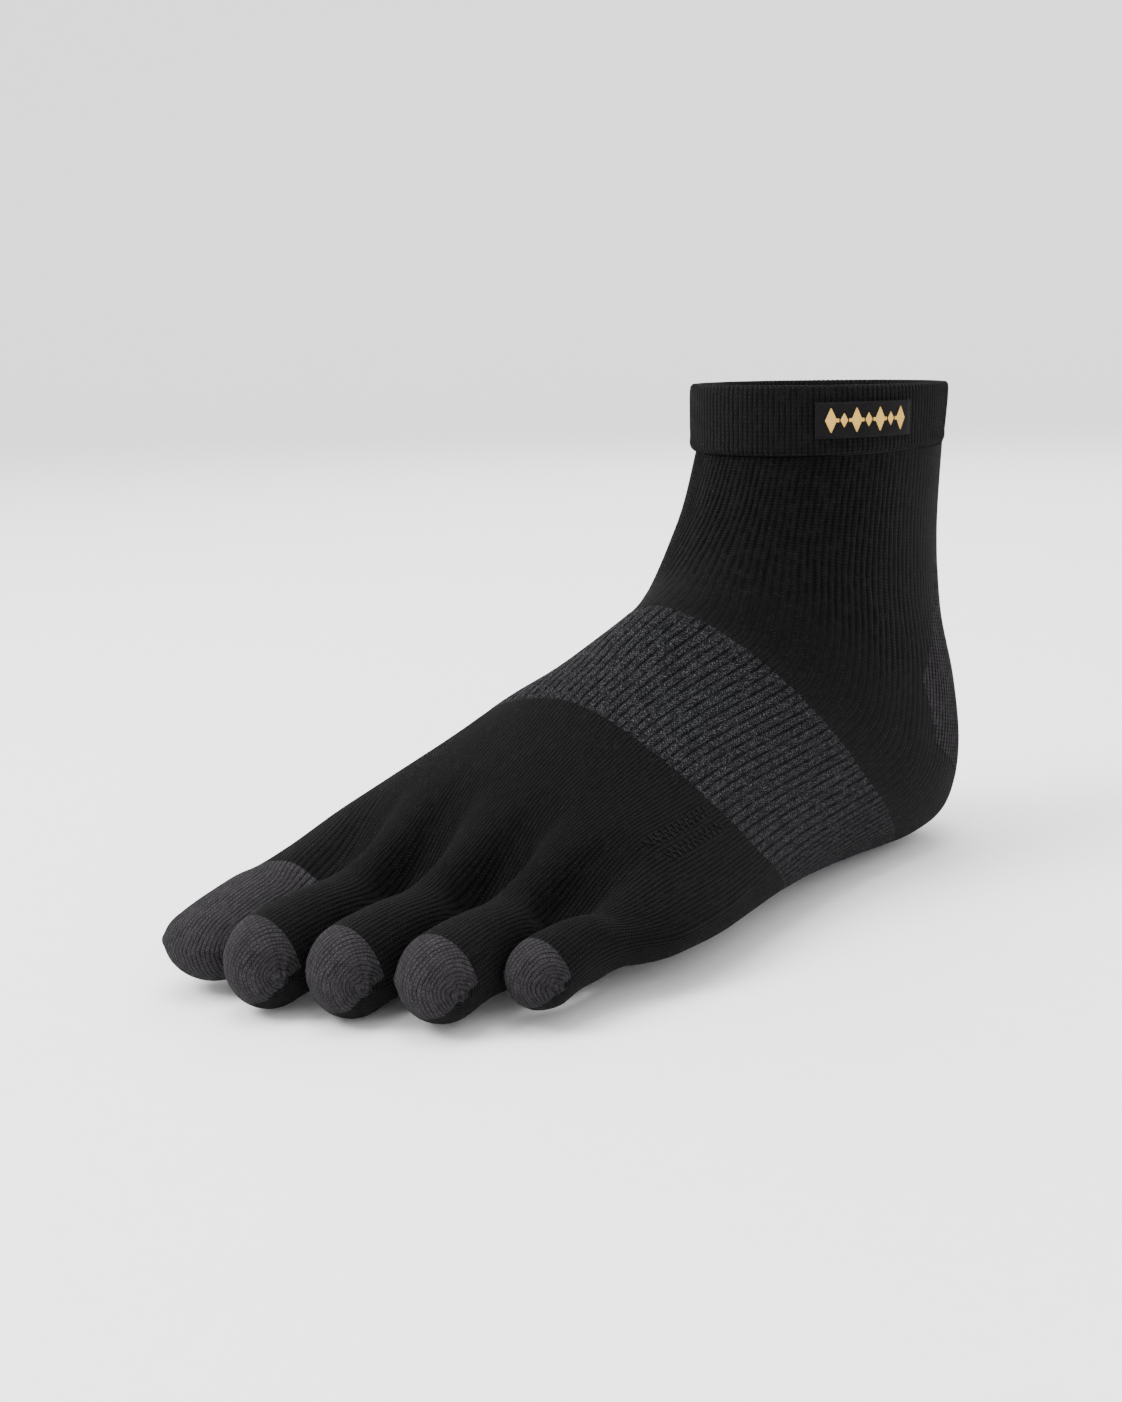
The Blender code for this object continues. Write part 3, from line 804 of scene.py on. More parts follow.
def settled(bm: bmesh.types.BMesh, name: str) -> bpy.types.Mesh:
    """Turns a working mesh into a mesh of this name."""
    mesh = bpy.data.meshes.new(name)
    bm.to_mesh(mesh)
    bm.free()
    return mesh


@dataclass
class Swatch:
    """A rectangle of knitting, as arrays of (rows + 1) by (columns + 1), and of rows by columns for zones."""

    points: np.ndarray
    wales: np.ndarray
    courses: np.ndarray
    relief: np.ndarray
    zones: np.ndarray | None = None
    quiet: np.ndarray | None = None

    def mesh(self) -> bpy.types.Mesh:
        """Makes the swatch from a grid whose points are moved to their places.

        Returns:
            A mesh with the stitch numbers as its UV map and the relief as an attribute.
        """
        rows, columns = self.points.shape[0] - 1, self.points.shape[1] - 1
        bm = bmesh.new()
        bm.loops.layers.uv.new("stitches")
        bmesh.ops.create_grid(bm, x_segments=columns, y_segments=rows, size=0.5)
        mesh = settled(bm, "swatch")
        flat = np.empty(3 * len(mesh.vertices))
        mesh.vertices.foreach_get("co", flat)
        flat = flat.reshape(-1, 3)
        column = np.rint((flat[:, 0] + 0.5) * columns).astype(int)
        row = np.rint((flat[:, 1] + 0.5) * rows).astype(int)
        mesh.vertices.foreach_set("co", self.points[row, column].ravel())
        corners = np.empty(len(mesh.loops), dtype=np.int32)
        mesh.loops.foreach_get("vertex_index", corners)
        stitches = np.stack([self.wales[row, column][corners], self.courses[row, column][corners]], axis=1)
        mesh.uv_layers["stitches"].data.foreach_set("uv", stitches.ravel())
        relief = mesh.attributes.new("relief", "FLOAT", "POINT")
        relief.data.foreach_set("value", self.relief[row, column])
        if self.quiet is not None:
            quiet = mesh.attributes.new("quiet", "FLOAT", "POINT")
            quiet.data.foreach_set("value", self.quiet[row, column])
        if self.zones is not None:
            quads = corners.reshape(-1, 4)
            first_row, first_column = row[quads].min(axis=1), column[quads].min(axis=1)
            mesh.polygons.foreach_set("material_index", self.zones[first_row, first_column].astype(np.int32))
        return mesh


def join_swatches(swatches: list[Swatch], zone_count: int = 1) -> bmesh.types.BMesh:
    """Sews swatches into one skin, with their shared edges merged.

    Args:
        swatches: The swatches.
        zone_count: How many zones their faces name.

    Returns:
        The skin.
    """
    bm = bmesh.new()
    holder = bpy.data.materials.new("zone")
    for swatch in swatches:
        mesh = swatch.mesh()
        for _ in range(zone_count):
            mesh.materials.append(holder)
        bm.from_mesh(mesh)
        bpy.data.meshes.remove(mesh)
    bmesh.ops.remove_doubles(bm, verts=bm.verts[:], dist=MERGE_DISTANCE)
    bm.normal_update()
    bpy.data.materials.remove(holder)
    return bm


def raise_stitches(bm: bmesh.types.BMesh) -> bpy.types.Mesh:
    """Makes the skin a mesh, and notes at each point the way and distance that its relief lifts it."""
    mesh = settled(bm, "skin")
    count = len(mesh.vertices)
    normals, relief = np.empty(3 * count), np.empty(count)
    mesh.vertex_normals.foreach_get("vector", normals)
    mesh.attributes["relief"].data.foreach_get("value", relief)
    lift = mesh.attributes.new("lift", "FLOAT_VECTOR", "POINT")
    lift.data.foreach_set("vector", normals * np.repeat(relief, 3))
    mesh.attributes.remove(mesh.attributes["relief"])
    mesh.update()
    return mesh


def lift_stitches(mesh: bpy.types.Mesh, count: int) -> None:
    """Moves a mesh's first points out by the lift that is noted at them.

    Args:
        mesh: The mesh.
        count: How many of its points belong to the outer side.
    """
    points, lift = np.empty(3 * len(mesh.vertices)), np.empty(3 * len(mesh.vertices))
    mesh.vertices.foreach_get("co", points)
    mesh.attributes["lift"].data.foreach_get("vector", lift)
    points[: 3 * count] += lift[: 3 * count]
    mesh.vertices.foreach_set("co", points)
    mesh.attributes.remove(mesh.attributes["lift"])
    mesh.update()


def keep_zone(skin: bpy.types.Mesh, zone: int) -> bpy.types.Mesh:
    """A copy of the skin with one zone's faces only."""
    bm = bmesh.new()
    bm.from_mesh(skin)
    others = [face for face in bm.faces if face.material_index != zone]
    bmesh.ops.delete(bm, geom=others, context="FACES")
    for face in bm.faces:
        face.material_index = 0
    return settled(bm, "piece")


@dataclass
class Workshop:
    """Where finished pieces are put, with one material for each finish."""

    collection: bpy.types.Collection
    dyed: dict[str, bpy.types.Material] = field(default_factory=dict)

    def material(self, finish: "KnitFinish | WovenFinish | ThreadFinish") -> bpy.types.Material:
        """The material of a finish, made once."""
        if finish.name not in self.dyed:
            self.dyed[finish.name] = finish.material()
        return self.dyed[finish.name]

    def add(
        self,
        name: str,
        mesh: bpy.types.Mesh,
        finish: "KnitFinish | WovenFinish | ThreadFinish",
        slot: str,
        node: str | None = None,
        wall: float = 0.0,
    ) -> bpy.types.Object:
        """Finishes a piece and puts it on the sock.

        Args:
            name: The piece's name.
            mesh: Its mesh.
            finish: Its finish.
            slot: Not used.
            node: The CAD node that it stands for.
            wall: The wall that it gets on its inner side.

        Returns:
            The piece.
        """
        mesh.name = name
        mesh.materials.clear()
        mesh.materials.append(self.material(finish))
        mesh.shade_smooth()
        piece = bpy.data.objects.new(name, mesh)
        self.collection.objects.link(piece)
        if wall:
            self.wall(piece, wall)
        else:
            lift_stitches(mesh, len(mesh.vertices))
        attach(piece, "root")
        if node:
            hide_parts(node)
        log.info("%s: %d faces", name, len(piece.data.polygons))
        return piece

    def wall(self, piece: bpy.types.Object, thickness: float) -> None:
        """Gives a piece its wall, smooth inside and with its stitches raised outside.

        The edge stays crisp where the wall was cut.

        Args:
            piece: The piece, an open sheet.
            thickness: Its wall, on the inner side.
        """
        sheet = piece.data
        sheet.materials.append(sheet.materials[0])
        thick = piece.modifiers.new("wall", "SOLIDIFY")
        thick.thickness = thickness
        thick.offset = -1.0
        thick.material_offset_rim = 1
        bpy.context.view_layer.update()
        shaped = piece.evaluated_get(bpy.context.evaluated_depsgraph_get())
        walled = bpy.data.meshes.new_from_object(shaped)
        piece.modifiers.remove(thick)
        lift_stitches(walled, len(sheet.vertices))
        bm = bmesh.new()
        bm.from_mesh(walled)
        for edge in bm.edges:
            edge.smooth = len({face.material_index for face in edge.link_faces}) == 1
        for face in bm.faces:
            face.material_index = 0
        bm.to_mesh(walled)
        bm.free()
        walled.materials.pop(index=1)
        piece.data = walled
        walled.name = piece.name
        bpy.data.meshes.remove(sheet)


LONG_SWAY = 0.022  # in columns
SHORT_SWAY = 0.016


def wander(columns: np.ndarray, rows: np.ndarray) -> np.ndarray:
    """How far the wales stray sideways, in columns, as a worn rib does."""
    sway = np.sin(columns * 0.71 + rows * 1.9) + 0.6 * np.sin(columns * 1.63 - rows * 3.1 + 1.0)
    return LONG_SWAY * sway + SHORT_SWAY * np.sin(columns * 3.7 + rows * 6.3)


@dataclass
class Leg:
    """The ribbed leg and heel, with the grey heel patch knitted into it."""

    ribs: int = 130
    rib_columns: int = 5
    rows: int = 88
    last_row: float = BAND_ROWS[0]
    rib_height: float = 0.00038
    course_pitch: float = 0.00098
    patch_top: float = 1.5
    patch_corner: float = 3.5
    patch_foot: float = 4.5
    calm_columns: tuple[float, float] = (5.0, 15.0)  # from the front's middle line, where the ribs flatten
    calm_rows: tuple[float, float] = (2.2, 4.6)
    calm_share: float = 0.93
    patch_share: float = 0.75

    def patch(self, columns: np.ndarray, rows: np.ndarray) -> np.ndarray:
        """Whether places lie in the heel patch, which narrows to a corner at each side."""
        from_corner = HALF / 2 - np.abs(columns - 1.5 * HALF)
        top = np.maximum(self.patch_top, self.patch_corner - 0.5 * from_corner)
        foot = np.minimum(self.patch_foot, self.patch_corner + 0.5 * from_corner)
        return (from_corner >= 0) & (rows >= top) & (rows <= foot)

    def swatch(self) -> Swatch:
        """Lays the leg's stitches."""
        columns = np.linspace(0.0, AROUND, self.ribs * self.rib_columns + 1)
        rows = FOOT.rows_between(0.0, self.last_row, self.rows)
        sway = np.array([wander(columns[:-1], np.full(len(columns) - 1, row)) for row in rows])
        sway = np.concatenate([sway, sway[:, :1]], axis=1)
        points = np.array([FOOT.ring(row, (columns + shift) % AROUND) for row, shift in zip(rows, sway)])
        grid_rows = in_every_column(rows, len(columns))
        wales = in_every_row(columns * self.ribs / AROUND, len(rows))
        courses = course_numbers(points, self.course_pitch)
        rib = (0.5 - 0.5 * np.cos(2 * math.pi * wales)) ** 0.6
        fade = eased(grid_rows, 0.0, 0.12) * (1.0 - eased(grid_rows, self.last_row - 0.15, self.last_row))
        uneven = 0.8 + 0.2 * np.sin(wales * 0.9 + courses * 0.13)
        middle_columns = 0.5 * (columns[1:] + columns[:-1])[None, :]
        middle_rows = 0.5 * (rows[1:] + rows[:-1])[:, None]
        inside = self.patch(middle_columns, middle_rows)
        calm = self.patch(columns[None, :], grid_rows)
        away = np.abs(columns - 0.5 * HALF)
        side = eased(np.minimum(away, AROUND - away), *self.calm_columns)[None, :]
        side = np.maximum(side, eased(grid_rows, *self.calm_rows)) * np.where(calm, 0.0, 1.0)
        relief = self.rib_height * (rib - 0.6) * fade * uneven * (1.0 - self.calm_share * side)
        relief *= np.where(calm, self.patch_share, 1.0)
        return Swatch(points, wales, courses, relief, inside.astype(int), side)

    def build(self, shop: Workshop) -> None:
        """Knits the leg and the patch."""
        skin = raise_stitches(join_swatches([self.swatch()], 2))
        leg = shop.add("leg_and_heel_knit", keep_zone(skin, 0), BLACK_KNIT, "black_knit", "leg_and_heel", FOOT.wall)
        patch = shop.add("heel_patch_knit", keep_zone(skin, 1), GREY_HEEL_IN_SHADE, "grey_knit", "heel_patch", FOOT.wall)
        bpy.data.meshes.remove(skin)


@dataclass
class ArchBand:
    """The heather band round the arch, in pairs of wales with a sunken line between the pairs."""

    pairs: int = 118
    pair_columns: int = 5
    rows: int = 58
    first_row: float = BAND_ROWS[0]
    last_row: float = BAND_ROWS[1]
    line_depth: float = 0.00036
    line_width: float = 0.10
    line_break: float = 0.38
    wale_height: float = 0.00008
    course_pitch: float = 0.00098

    def build(self, shop: Workshop) -> None:
        """Knits the band."""
        columns = np.linspace(0.0, AROUND, self.pairs * self.pair_columns + 1)
        rows = FOOT.rows_between(self.first_row, self.last_row, self.rows)
        points = np.array([FOOT.ring(row, columns) for row in rows])
        pairs = in_every_row(columns * self.pairs / AROUND, len(rows))
        courses = course_numbers(points, self.course_pitch)
        away = np.abs(pairs - np.rint(pairs))
        ends = in_every_column(rows, len(columns))
        fade = eased(ends, self.first_row, self.first_row + 0.1)
        fade *= 1.0 - eased(ends, self.last_row - 0.1, self.last_row)
        broken = 1.0 - self.line_break + self.line_break * np.sin(courses * 0.45 + np.rint(pairs) * 2.3)
        relief = fade * (self.wale_height - self.line_depth * np.exp(-((away / self.line_width) ** 2)) * broken)
        swatch = Swatch(points, pairs * 2.0, courses, relief)
        skin = raise_stitches(join_swatches([swatch]))
        band = shop.add("arch_band_knit", skin, HEATHER_RIB, "heather_rib", "arch_band", FOOT.wall)


@dataclass
class Front:
    """The forefoot and the five toes, knitted as one skin and told apart by yarn."""

    fine: int = 20
    wales_each: float = 5.0
    first_row: float = BAND_ROWS[1]
    rows: int = 42
    toe_rows: int = 24
    tip_rows: int = 48
    wale_height: float = 0.00010
    toe_wale_height: float = 0.00008
    course_pitch: float = 0.00092
    web_courses: float = 14.0
    cap_share: float = 0.70
    cap_rise: float = 0.17
    knot_height: float = 0.0020
    knot_radius: float = 0.0014
    knot_turn: float = 28.0
    knot_over: float = 91.0
    tip_pitch: float = 0.00084
    tip_spokes: int = 54
    ridge: float = 0.0006
    ridge_turn: float = 1.35
    ridge_width: float = 0.16
    big_toe_drop: float = 0.34
    pleat_count: int = 7
    pleat_height: float = 0.00072
    pleat_reach: float = 0.0030
    softened: tuple[float, ...] = (0.0085, 0.0065, 0.0050, 0.0035)
    soften_passes: int = 9
    toe_flats: tuple[tuple[float, float], ...] = (
        (0.048, 0.021), (0.053, 0.033), (0.053, 0.036), (0.053, 0.038), (0.053, 0.040)
    )
    cap_flats: tuple[tuple[float, float], ...] = ((0.024, 0.0105), (0.030, 0.0120), (0.030, 0.0125), (0.030, 0.0130))
    root_courses: np.ndarray = field(default_factory=lambda: np.zeros(2))

    def wale_relief(self, wales: np.ndarray, height: float) -> np.ndarray:
        """The height of the wales."""
        return height * (0.5 - 0.5 * np.cos(2 * math.pi * wales)) - 0.6 * height

    def forefoot(self) -> Swatch:
        """Lays the forefoot's stitches."""
        columns = np.linspace(0.0, AROUND, AROUND * self.fine + 1)
        rows = FOOT.rows_between(self.first_row, LAST_ROW, self.rows)
        points = np.array([FOOT.ring(row, columns) for row in rows])
        wales = in_every_row(columns * self.wales_each, len(rows))
        courses = course_numbers(points, self.course_pitch, 0.4)
        ends = in_every_column(rows, len(columns))
        fade = eased(ends, self.first_row, self.first_row + 0.12)
        relief = self.wale_relief(wales, self.wale_height) * fade
        self.root_courses = courses[-1]
        return Swatch(points, wales, courses, relief)

    def webs(self) -> list[Swatch]:
        """Lays the strips between the toes."""
        swatches = []
        for number in range(len(WEBS)):
            edge = FOOT.slot_start(number) + TOES[number].segments
            columns = np.linspace(edge, edge + 1, self.fine + 1)
            above, below = FOOT.ring(LAST_ROW, columns), FOOT.ring(LAST_ROW, AROUND - columns)
            down = np.linspace(0.0, 1.0, 2 * self.fine + 1)[:, None, None]
            points = above[None] * (1 - down) + below[None] * down
            wales = in_every_row(columns * self.wales_each, len(down))
            courses = in_every_column(down[:, 0, 0] * self.web_courses, len(columns))
            swatches.append(Swatch(points, wales, courses, np.zeros(wales.shape)))
        return swatches

    def toe(self, number: int) -> list[Swatch]:
        """Lays the stitches of a toe and of its tip.

        Args:
            number: The toe, counted from the outer side.

        Returns:
            The toe's tube and its tip.
        """
        toe, half = TOES[number], FOOT.slot_steps(number)
        coarse = np.arange(half + 1.0)
        root = np.concatenate([
            FOOT.slot_line(number, coarse, False),
            FOOT.slot_line(number, coarse, True)[1:-1],
        ]).mean(axis=0)
        steps = np.linspace(0.0, half, half * self.fine + 1)
        start = np.concatenate([
            FOOT.slot_line(number, steps, False),
            FOOT.slot_line(number, steps, True)[-2::-1],
        ])
        turns = np.linspace(0.0, 2 * math.pi, len(start))
        width, height = toe.half_width * FOOT.ball_width, toe.half_height * FOOT.toe_thickness
        drop = 0.0 if toe.capped else self.big_toe_drop
        slot_side = start[0] - start[half * self.fine]
        slot_side = slot_side / np.linalg.norm(slot_side)
        rings = []
        amounts = np.linspace(0.0, 1.0, self.toe_rows + 1)
        for amount in amounts:
            centre, _, side, up = FOOT.toe_frame(toe, root, amount)
            side = slot_side * (1 - amount) + side * amount
            slim = 1.0 - (1.0 - toe.neck) * math.sin(math.pi * amount) ** 2
            tall = height * np.where(np.sin(turns) > 0.0, 1.0 - drop * amount, 1.0)
            ellipse = centre + np.outer(np.cos(turns) * width * slim, side) + np.outer(np.sin(turns) * tall, up)
            share = math.sin(0.5 * math.pi * min(1.0, amount / FOOT.toe_blend))
            rings.append((start + centre - root) * (1 - share) + ellipse * share)
        points = np.array(rings)
        places = np.linspace(0.0, 2.0 * half, len(start)) + FOOT.slot_start(number) - (number > 0)
        wales = in_every_row(places * self.wales_each, len(amounts))
        run = np.concatenate([[0.0], np.cumsum(np.linalg.norm(np.diff(points, axis=0), axis=2).mean(axis=1))])
        courses = run[:, None] / self.course_pitch + self.root_courses_of(number, steps)[None, :]
        side = np.minimum(places - places[0], places[-1] - places)
        side = np.minimum(side, np.abs(places - places[0] - half)) if number < len(TOES) - 1 else side
        at_web = 1.0 - eased(side, 0.6, 1.4) if number > 0 else np.zeros(len(places))
        fade = 1.0 - at_web[None, :] * (1.0 - eased(amounts, 0.0, 0.25)[:, None])
        height = self.wale_height + (self.toe_wale_height - self.wale_height) * eased(amounts, 0.0, 0.5)[:, None]
        relief = self.wale_relief(wales, 1.0) * height * fade
        zone = 2 * number + 1
        tube = Swatch(points, wales, courses, relief, np.full((self.toe_rows, len(start) - 1), zone))
        return [tube, self.tip(number, root, courses[-1, : half * self.fine + 1])]

    def root_courses_of(self, number: int, steps: np.ndarray) -> np.ndarray:
        """The course numbers at a toe's root, carried on from the forefoot.

        Args:
            number: The toe.
            steps: Places along its slot's edge.

        Returns:
            The course number of each place round the slot.
        """
        columns = FOOT.slot_start(number) + np.clip(steps - (number > 0), 0, TOES[number].segments)
        known = np.linspace(0.0, AROUND, len(self.root_courses))
        upper = np.interp(columns, known, self.root_courses)
        lower = np.interp(AROUND - columns, known, self.root_courses)
        return np.concatenate([upper, lower[-2::-1]])

    def tip(self, number: int, root: np.ndarray, first_courses: np.ndarray) -> Swatch:
        """Lays the stitches over a toe's front, gathered into a knot at its outer side.

        Args:
            number: The toe.
            root: The middle of its slot.
            first_courses: The course numbers that the tip starts at.

        Returns:
            The tip.
        """
        toe, half = TOES[number], FOOT.slot_steps(number)
        width, height = toe.half_width * FOOT.ball_width, toe.half_height * FOOT.toe_thickness
        nose = toe.nose * FOOT.toe_thickness
        drop = 0.0 if toe.capped else self.big_toe_drop
        centre, heading, side, up = FOOT.toe_frame(toe, root, 1.0)
        turns = np.linspace(0.0, math.pi, half * self.fine + 1)
        overs = np.linspace(0.0, math.pi, self.tip_rows + 1)
        points = np.array([
            centre
            + np.outer(np.cos(turns) * width, side)
            + np.outer(np.sin(turns), up * tall * math.cos(over) + heading * nose * math.sin(over))
            for over, tall in zip(overs, np.where(overs < 0.5 * math.pi, height * (1.0 - drop), height))
        ])
        places = np.linspace(0.0, half, len(turns)) + FOOT.slot_start(number) - (number > 0)
        wales = in_every_row(places * self.wales_each, len(overs))
        run = overs[:, None] * (0.25 + 0.75 * np.sin(turns))[None, :] * 0.5 * (height + nose)
        courses = first_courses[None, :] + run / self.course_pitch
        relief = self.wale_relief(wales, self.toe_wale_height) * np.sin(turns)[None, :] ** 0.3
        if toe.capped:
            relief = np.zeros(relief.shape)
            seam = round(self.knot_over / 180.0 * self.tip_rows)
            first = round(self.knot_turn / 180.0 * (len(turns) - 1))
            for place, size in ((len(turns) - 1 - first, 0.4), (first, 1.0)):
                middle = points[seam, place]
                out = (middle - centre) / np.linalg.norm(middle - centre)
                level = np.cross(out, up) / np.linalg.norm(np.cross(out, up))
                offset = points - middle
                away = np.linalg.norm(offset, axis=2)
                angle = np.arctan2(offset @ np.cross(out, level), offset @ level)
                pleats = self.pleat_height * np.cos(self.pleat_count * angle + number)
                pleats *= np.exp(-away / self.pleat_reach) * eased(away, 0.0004, 0.0016)
                lump = 1.0 + 0.35 * np.sin(3.0 * angle + number) * eased(away, 0.0, 0.0010)
                knot = self.knot_height * np.exp(-((away / self.knot_radius) ** 2)) * lump
                relief = relief + (knot + pleats) * size
            # The stitches run in rings round the last knot, which is the larger one.
            rings = np.sqrt(away**2 + self.knot_radius**2) / self.tip_pitch
            uneven = 0.16 * np.sin(5.0 * angle)
            wales = rings + uneven + 0.22 * np.sin(2.0 * angle + 0.8 * rings + number)
            courses = angle * self.tip_spokes / (2.0 * math.pi)
        else:
            ridge = np.exp(-(((overs - self.ridge_turn) / self.ridge_width) ** 2))
            relief = relief + self.ridge * (ridge[:, None] * np.sin(turns)[None, :])
        rising = (np.arange(self.tip_rows) + 0.5) / self.tip_rows
        edge = self.cap_share - self.cap_rise * np.exp(-((turns[1:] / math.radians(self.knot_turn + 12.0)) ** 2))
        capped = toe.capped & (rising[:, None] < edge[None, :])
        zones = 2 * number + 1 + capped.astype(int)
        return Swatch(points, wales, courses, relief, zones)

    def build(self, shop: Workshop) -> None:
        """Knits the forefoot and toes, softens the folds between the toes, and parts them by yarn."""
        swatches = [self.forefoot(), *self.webs()]
        for number in range(len(TOES)):
            swatches += self.toe(number)
        bm = join_swatches(swatches, 2 * len(TOES) + 1)
        self.soften(bm)
        skin = raise_stitches(bm)
        piece = shop.add("forefoot_knit", keep_zone(skin, 0), BLACK_FOOT, "black_knit", "forefoot", FOOT.wall)
        for number, toe in enumerate(TOES):
            finish, slot = (BLACK_FOOT, "black_knit") if toe.capped else (GREY_KNIT, "grey_knit")
            mesh = keep_zone(skin, 2 * number + 1)
            piece = shop.add(f"{toe.name}_knit", mesh, finish, slot, toe.name, FOOT.wall)
            if toe.capped:
                mesh = keep_zone(skin, 2 * number + 2)
                cap = f"{toe.name}_cap"
                piece = shop.add(f"{cap}_knit", mesh, GREY_KNIT, "grey_knit", cap, FOOT.wall)
        bpy.data.meshes.remove(skin)

    def soften(self, bm: bmesh.types.BMesh) -> None:
        """Rounds the folds where the toes leave the forefoot."""
        columns = np.arange(0.0, AROUND, 0.5)
        slots = [Vector(point) for point in FOOT.ring(LAST_ROW, columns)]
        near = {}
        reach = max(self.softened)
        low = min(point.y for point in slots) - reach
        high = max(point.y for point in slots) + reach
        for vert in bm.verts:
            if low < vert.co.y < high:
                near[vert] = min((vert.co - point).length_squared for point in slots) ** 0.5
        for radius in self.softened:
            chosen = [vert for vert, away in near.items() if away < radius]
            for _ in range(self.soften_passes):
                bmesh.ops.smooth_vert(
                    bm, verts=chosen, factor=0.5, use_axis_x=True, use_axis_y=True, use_axis_z=True
                )
        bm.normal_update()


@dataclass
class Cuff:
    """The welt: a thick ribbed band round the top, rounded above and rolled out a little below."""

    height: float = 0.0172
    front_share: float = 1.08
    back_share: float = 0.94
    thickness: float = 0.0034
    gap: float = 0.0003
    ribs: int = 160
    rib_columns: int = 5
    profile_rows: int = 44
    rib_height: float = 0.00014
    crown: float = 0.00012
    roll: float = 0.00030
    back_tuck: float = 0.0015
    course_pitch: float = 0.0010

    def ring(self, share: float, angles: np.ndarray, grow: float, outer: float = 1.0) -> np.ndarray:
        """A ring of the cuff.

        Args:
            share: The share of the cuff's height.
            angles: Angles round the leg.
            grow: How far outside the leg's top it lies.
            outer: 1 on the outer face, which is tucked in low at the back, and 0 on the inner face.

        Returns:
            One point for each angle.
        """
        low = FOOT.section_at(0.0)
        rise = self.height / FOOT.instep_height * share
        section = low._replace(
            front_height=low.front_height + rise * self.front_share,
            back_height=low.back_height + rise * self.back_share,
        )
        points = FOOT.outline(section, angles)
        points[:, 2] += self.gap
        out = points - [
            section.middle * FOOT.ball_width,
            FOOT.along(0.5 * (section.front + section.back)),
            0.0,
        ]
        out[:, 2] = 0.0
        behind = eased(-np.sin(angles), -0.75, 0.75)
        grow = grow - outer * self.back_tuck * behind * (1.0 - share) ** 1.2
        return points + out / np.linalg.norm(out, axis=1)[:, None] * grow[:, None]

    @property
    def proud(self) -> float:
        """How far the cuff's outer side stands out from the leg's."""
        return self.thickness - FOOT.wall

    def profile(self) -> np.ndarray:
        """The cut through the cuff, evenly spaced from the bottom's middle.

        Returns:
            Rows of how far out, how high, how far along and how much on the outer face.
        """
        turn = np.linspace(-0.5 * math.pi, 1.5 * math.pi, 721)
        out = np.sign(np.cos(turn)) * np.abs(np.cos(turn)) ** 0.42
        high = np.sign(np.sin(turn)) * np.abs(np.sin(turn)) ** np.where(np.sin(turn) > 0, 0.20, 0.32)
        grow = self.proud - 0.5 * self.thickness + 0.5 * self.thickness * out
        share = 0.5 + 0.5 * high
        outer = np.clip(out, 0.0, 1.0)
        grow += outer * self.crown * np.cos(math.pi * (share - 0.5))
        grow += outer * self.roll * np.exp(-(((share - 0.10) / 0.07) ** 2))
        line = np.stack([grow, share * self.height], axis=1)
        run = run_length(line)
        even = np.linspace(0.0, run[-1], self.profile_rows + 1)
        return np.stack([np.interp(even, run, part) for part in (line[:, 0], share, run, outer)], axis=1)

    def build(self, shop: Workshop) -> None:
        """Knits the cuff."""
        section = FOOT.section_at(0.0)
        columns = np.linspace(0.0, AROUND, self.ribs * self.rib_columns + 1)
        angles = np.concatenate([FOOT.even_angles(section, 0.0)[:-1], FOOT.even_angles(section, math.pi)])
        angles = np.interp(columns, np.arange(AROUND + 1), angles)
        profile = self.profile()
        points = np.array([self.ring(share, angles, grow, outer) for grow, share, _, outer in profile])
        wales = in_every_row(columns * self.ribs / AROUND, len(profile))
        courses = in_every_column(profile[:, 2] / self.course_pitch, len(columns))
        rib = 0.5 - 0.5 * np.cos(2 * math.pi * wales)
        relief = self.rib_height * (rib - 0.5) * (0.85 + 0.15 * np.sin(courses * 0.9 + wales * 0.5))
        bm = join_swatches([Swatch(points[::-1], wales, courses[::-1], relief)])
        bmesh.ops.recalc_face_normals(bm, faces=bm.faces[:])
        piece = shop.add("cuff_knit", raise_stitches(bm), BLACK_RIB, "black_rib", "cuff")


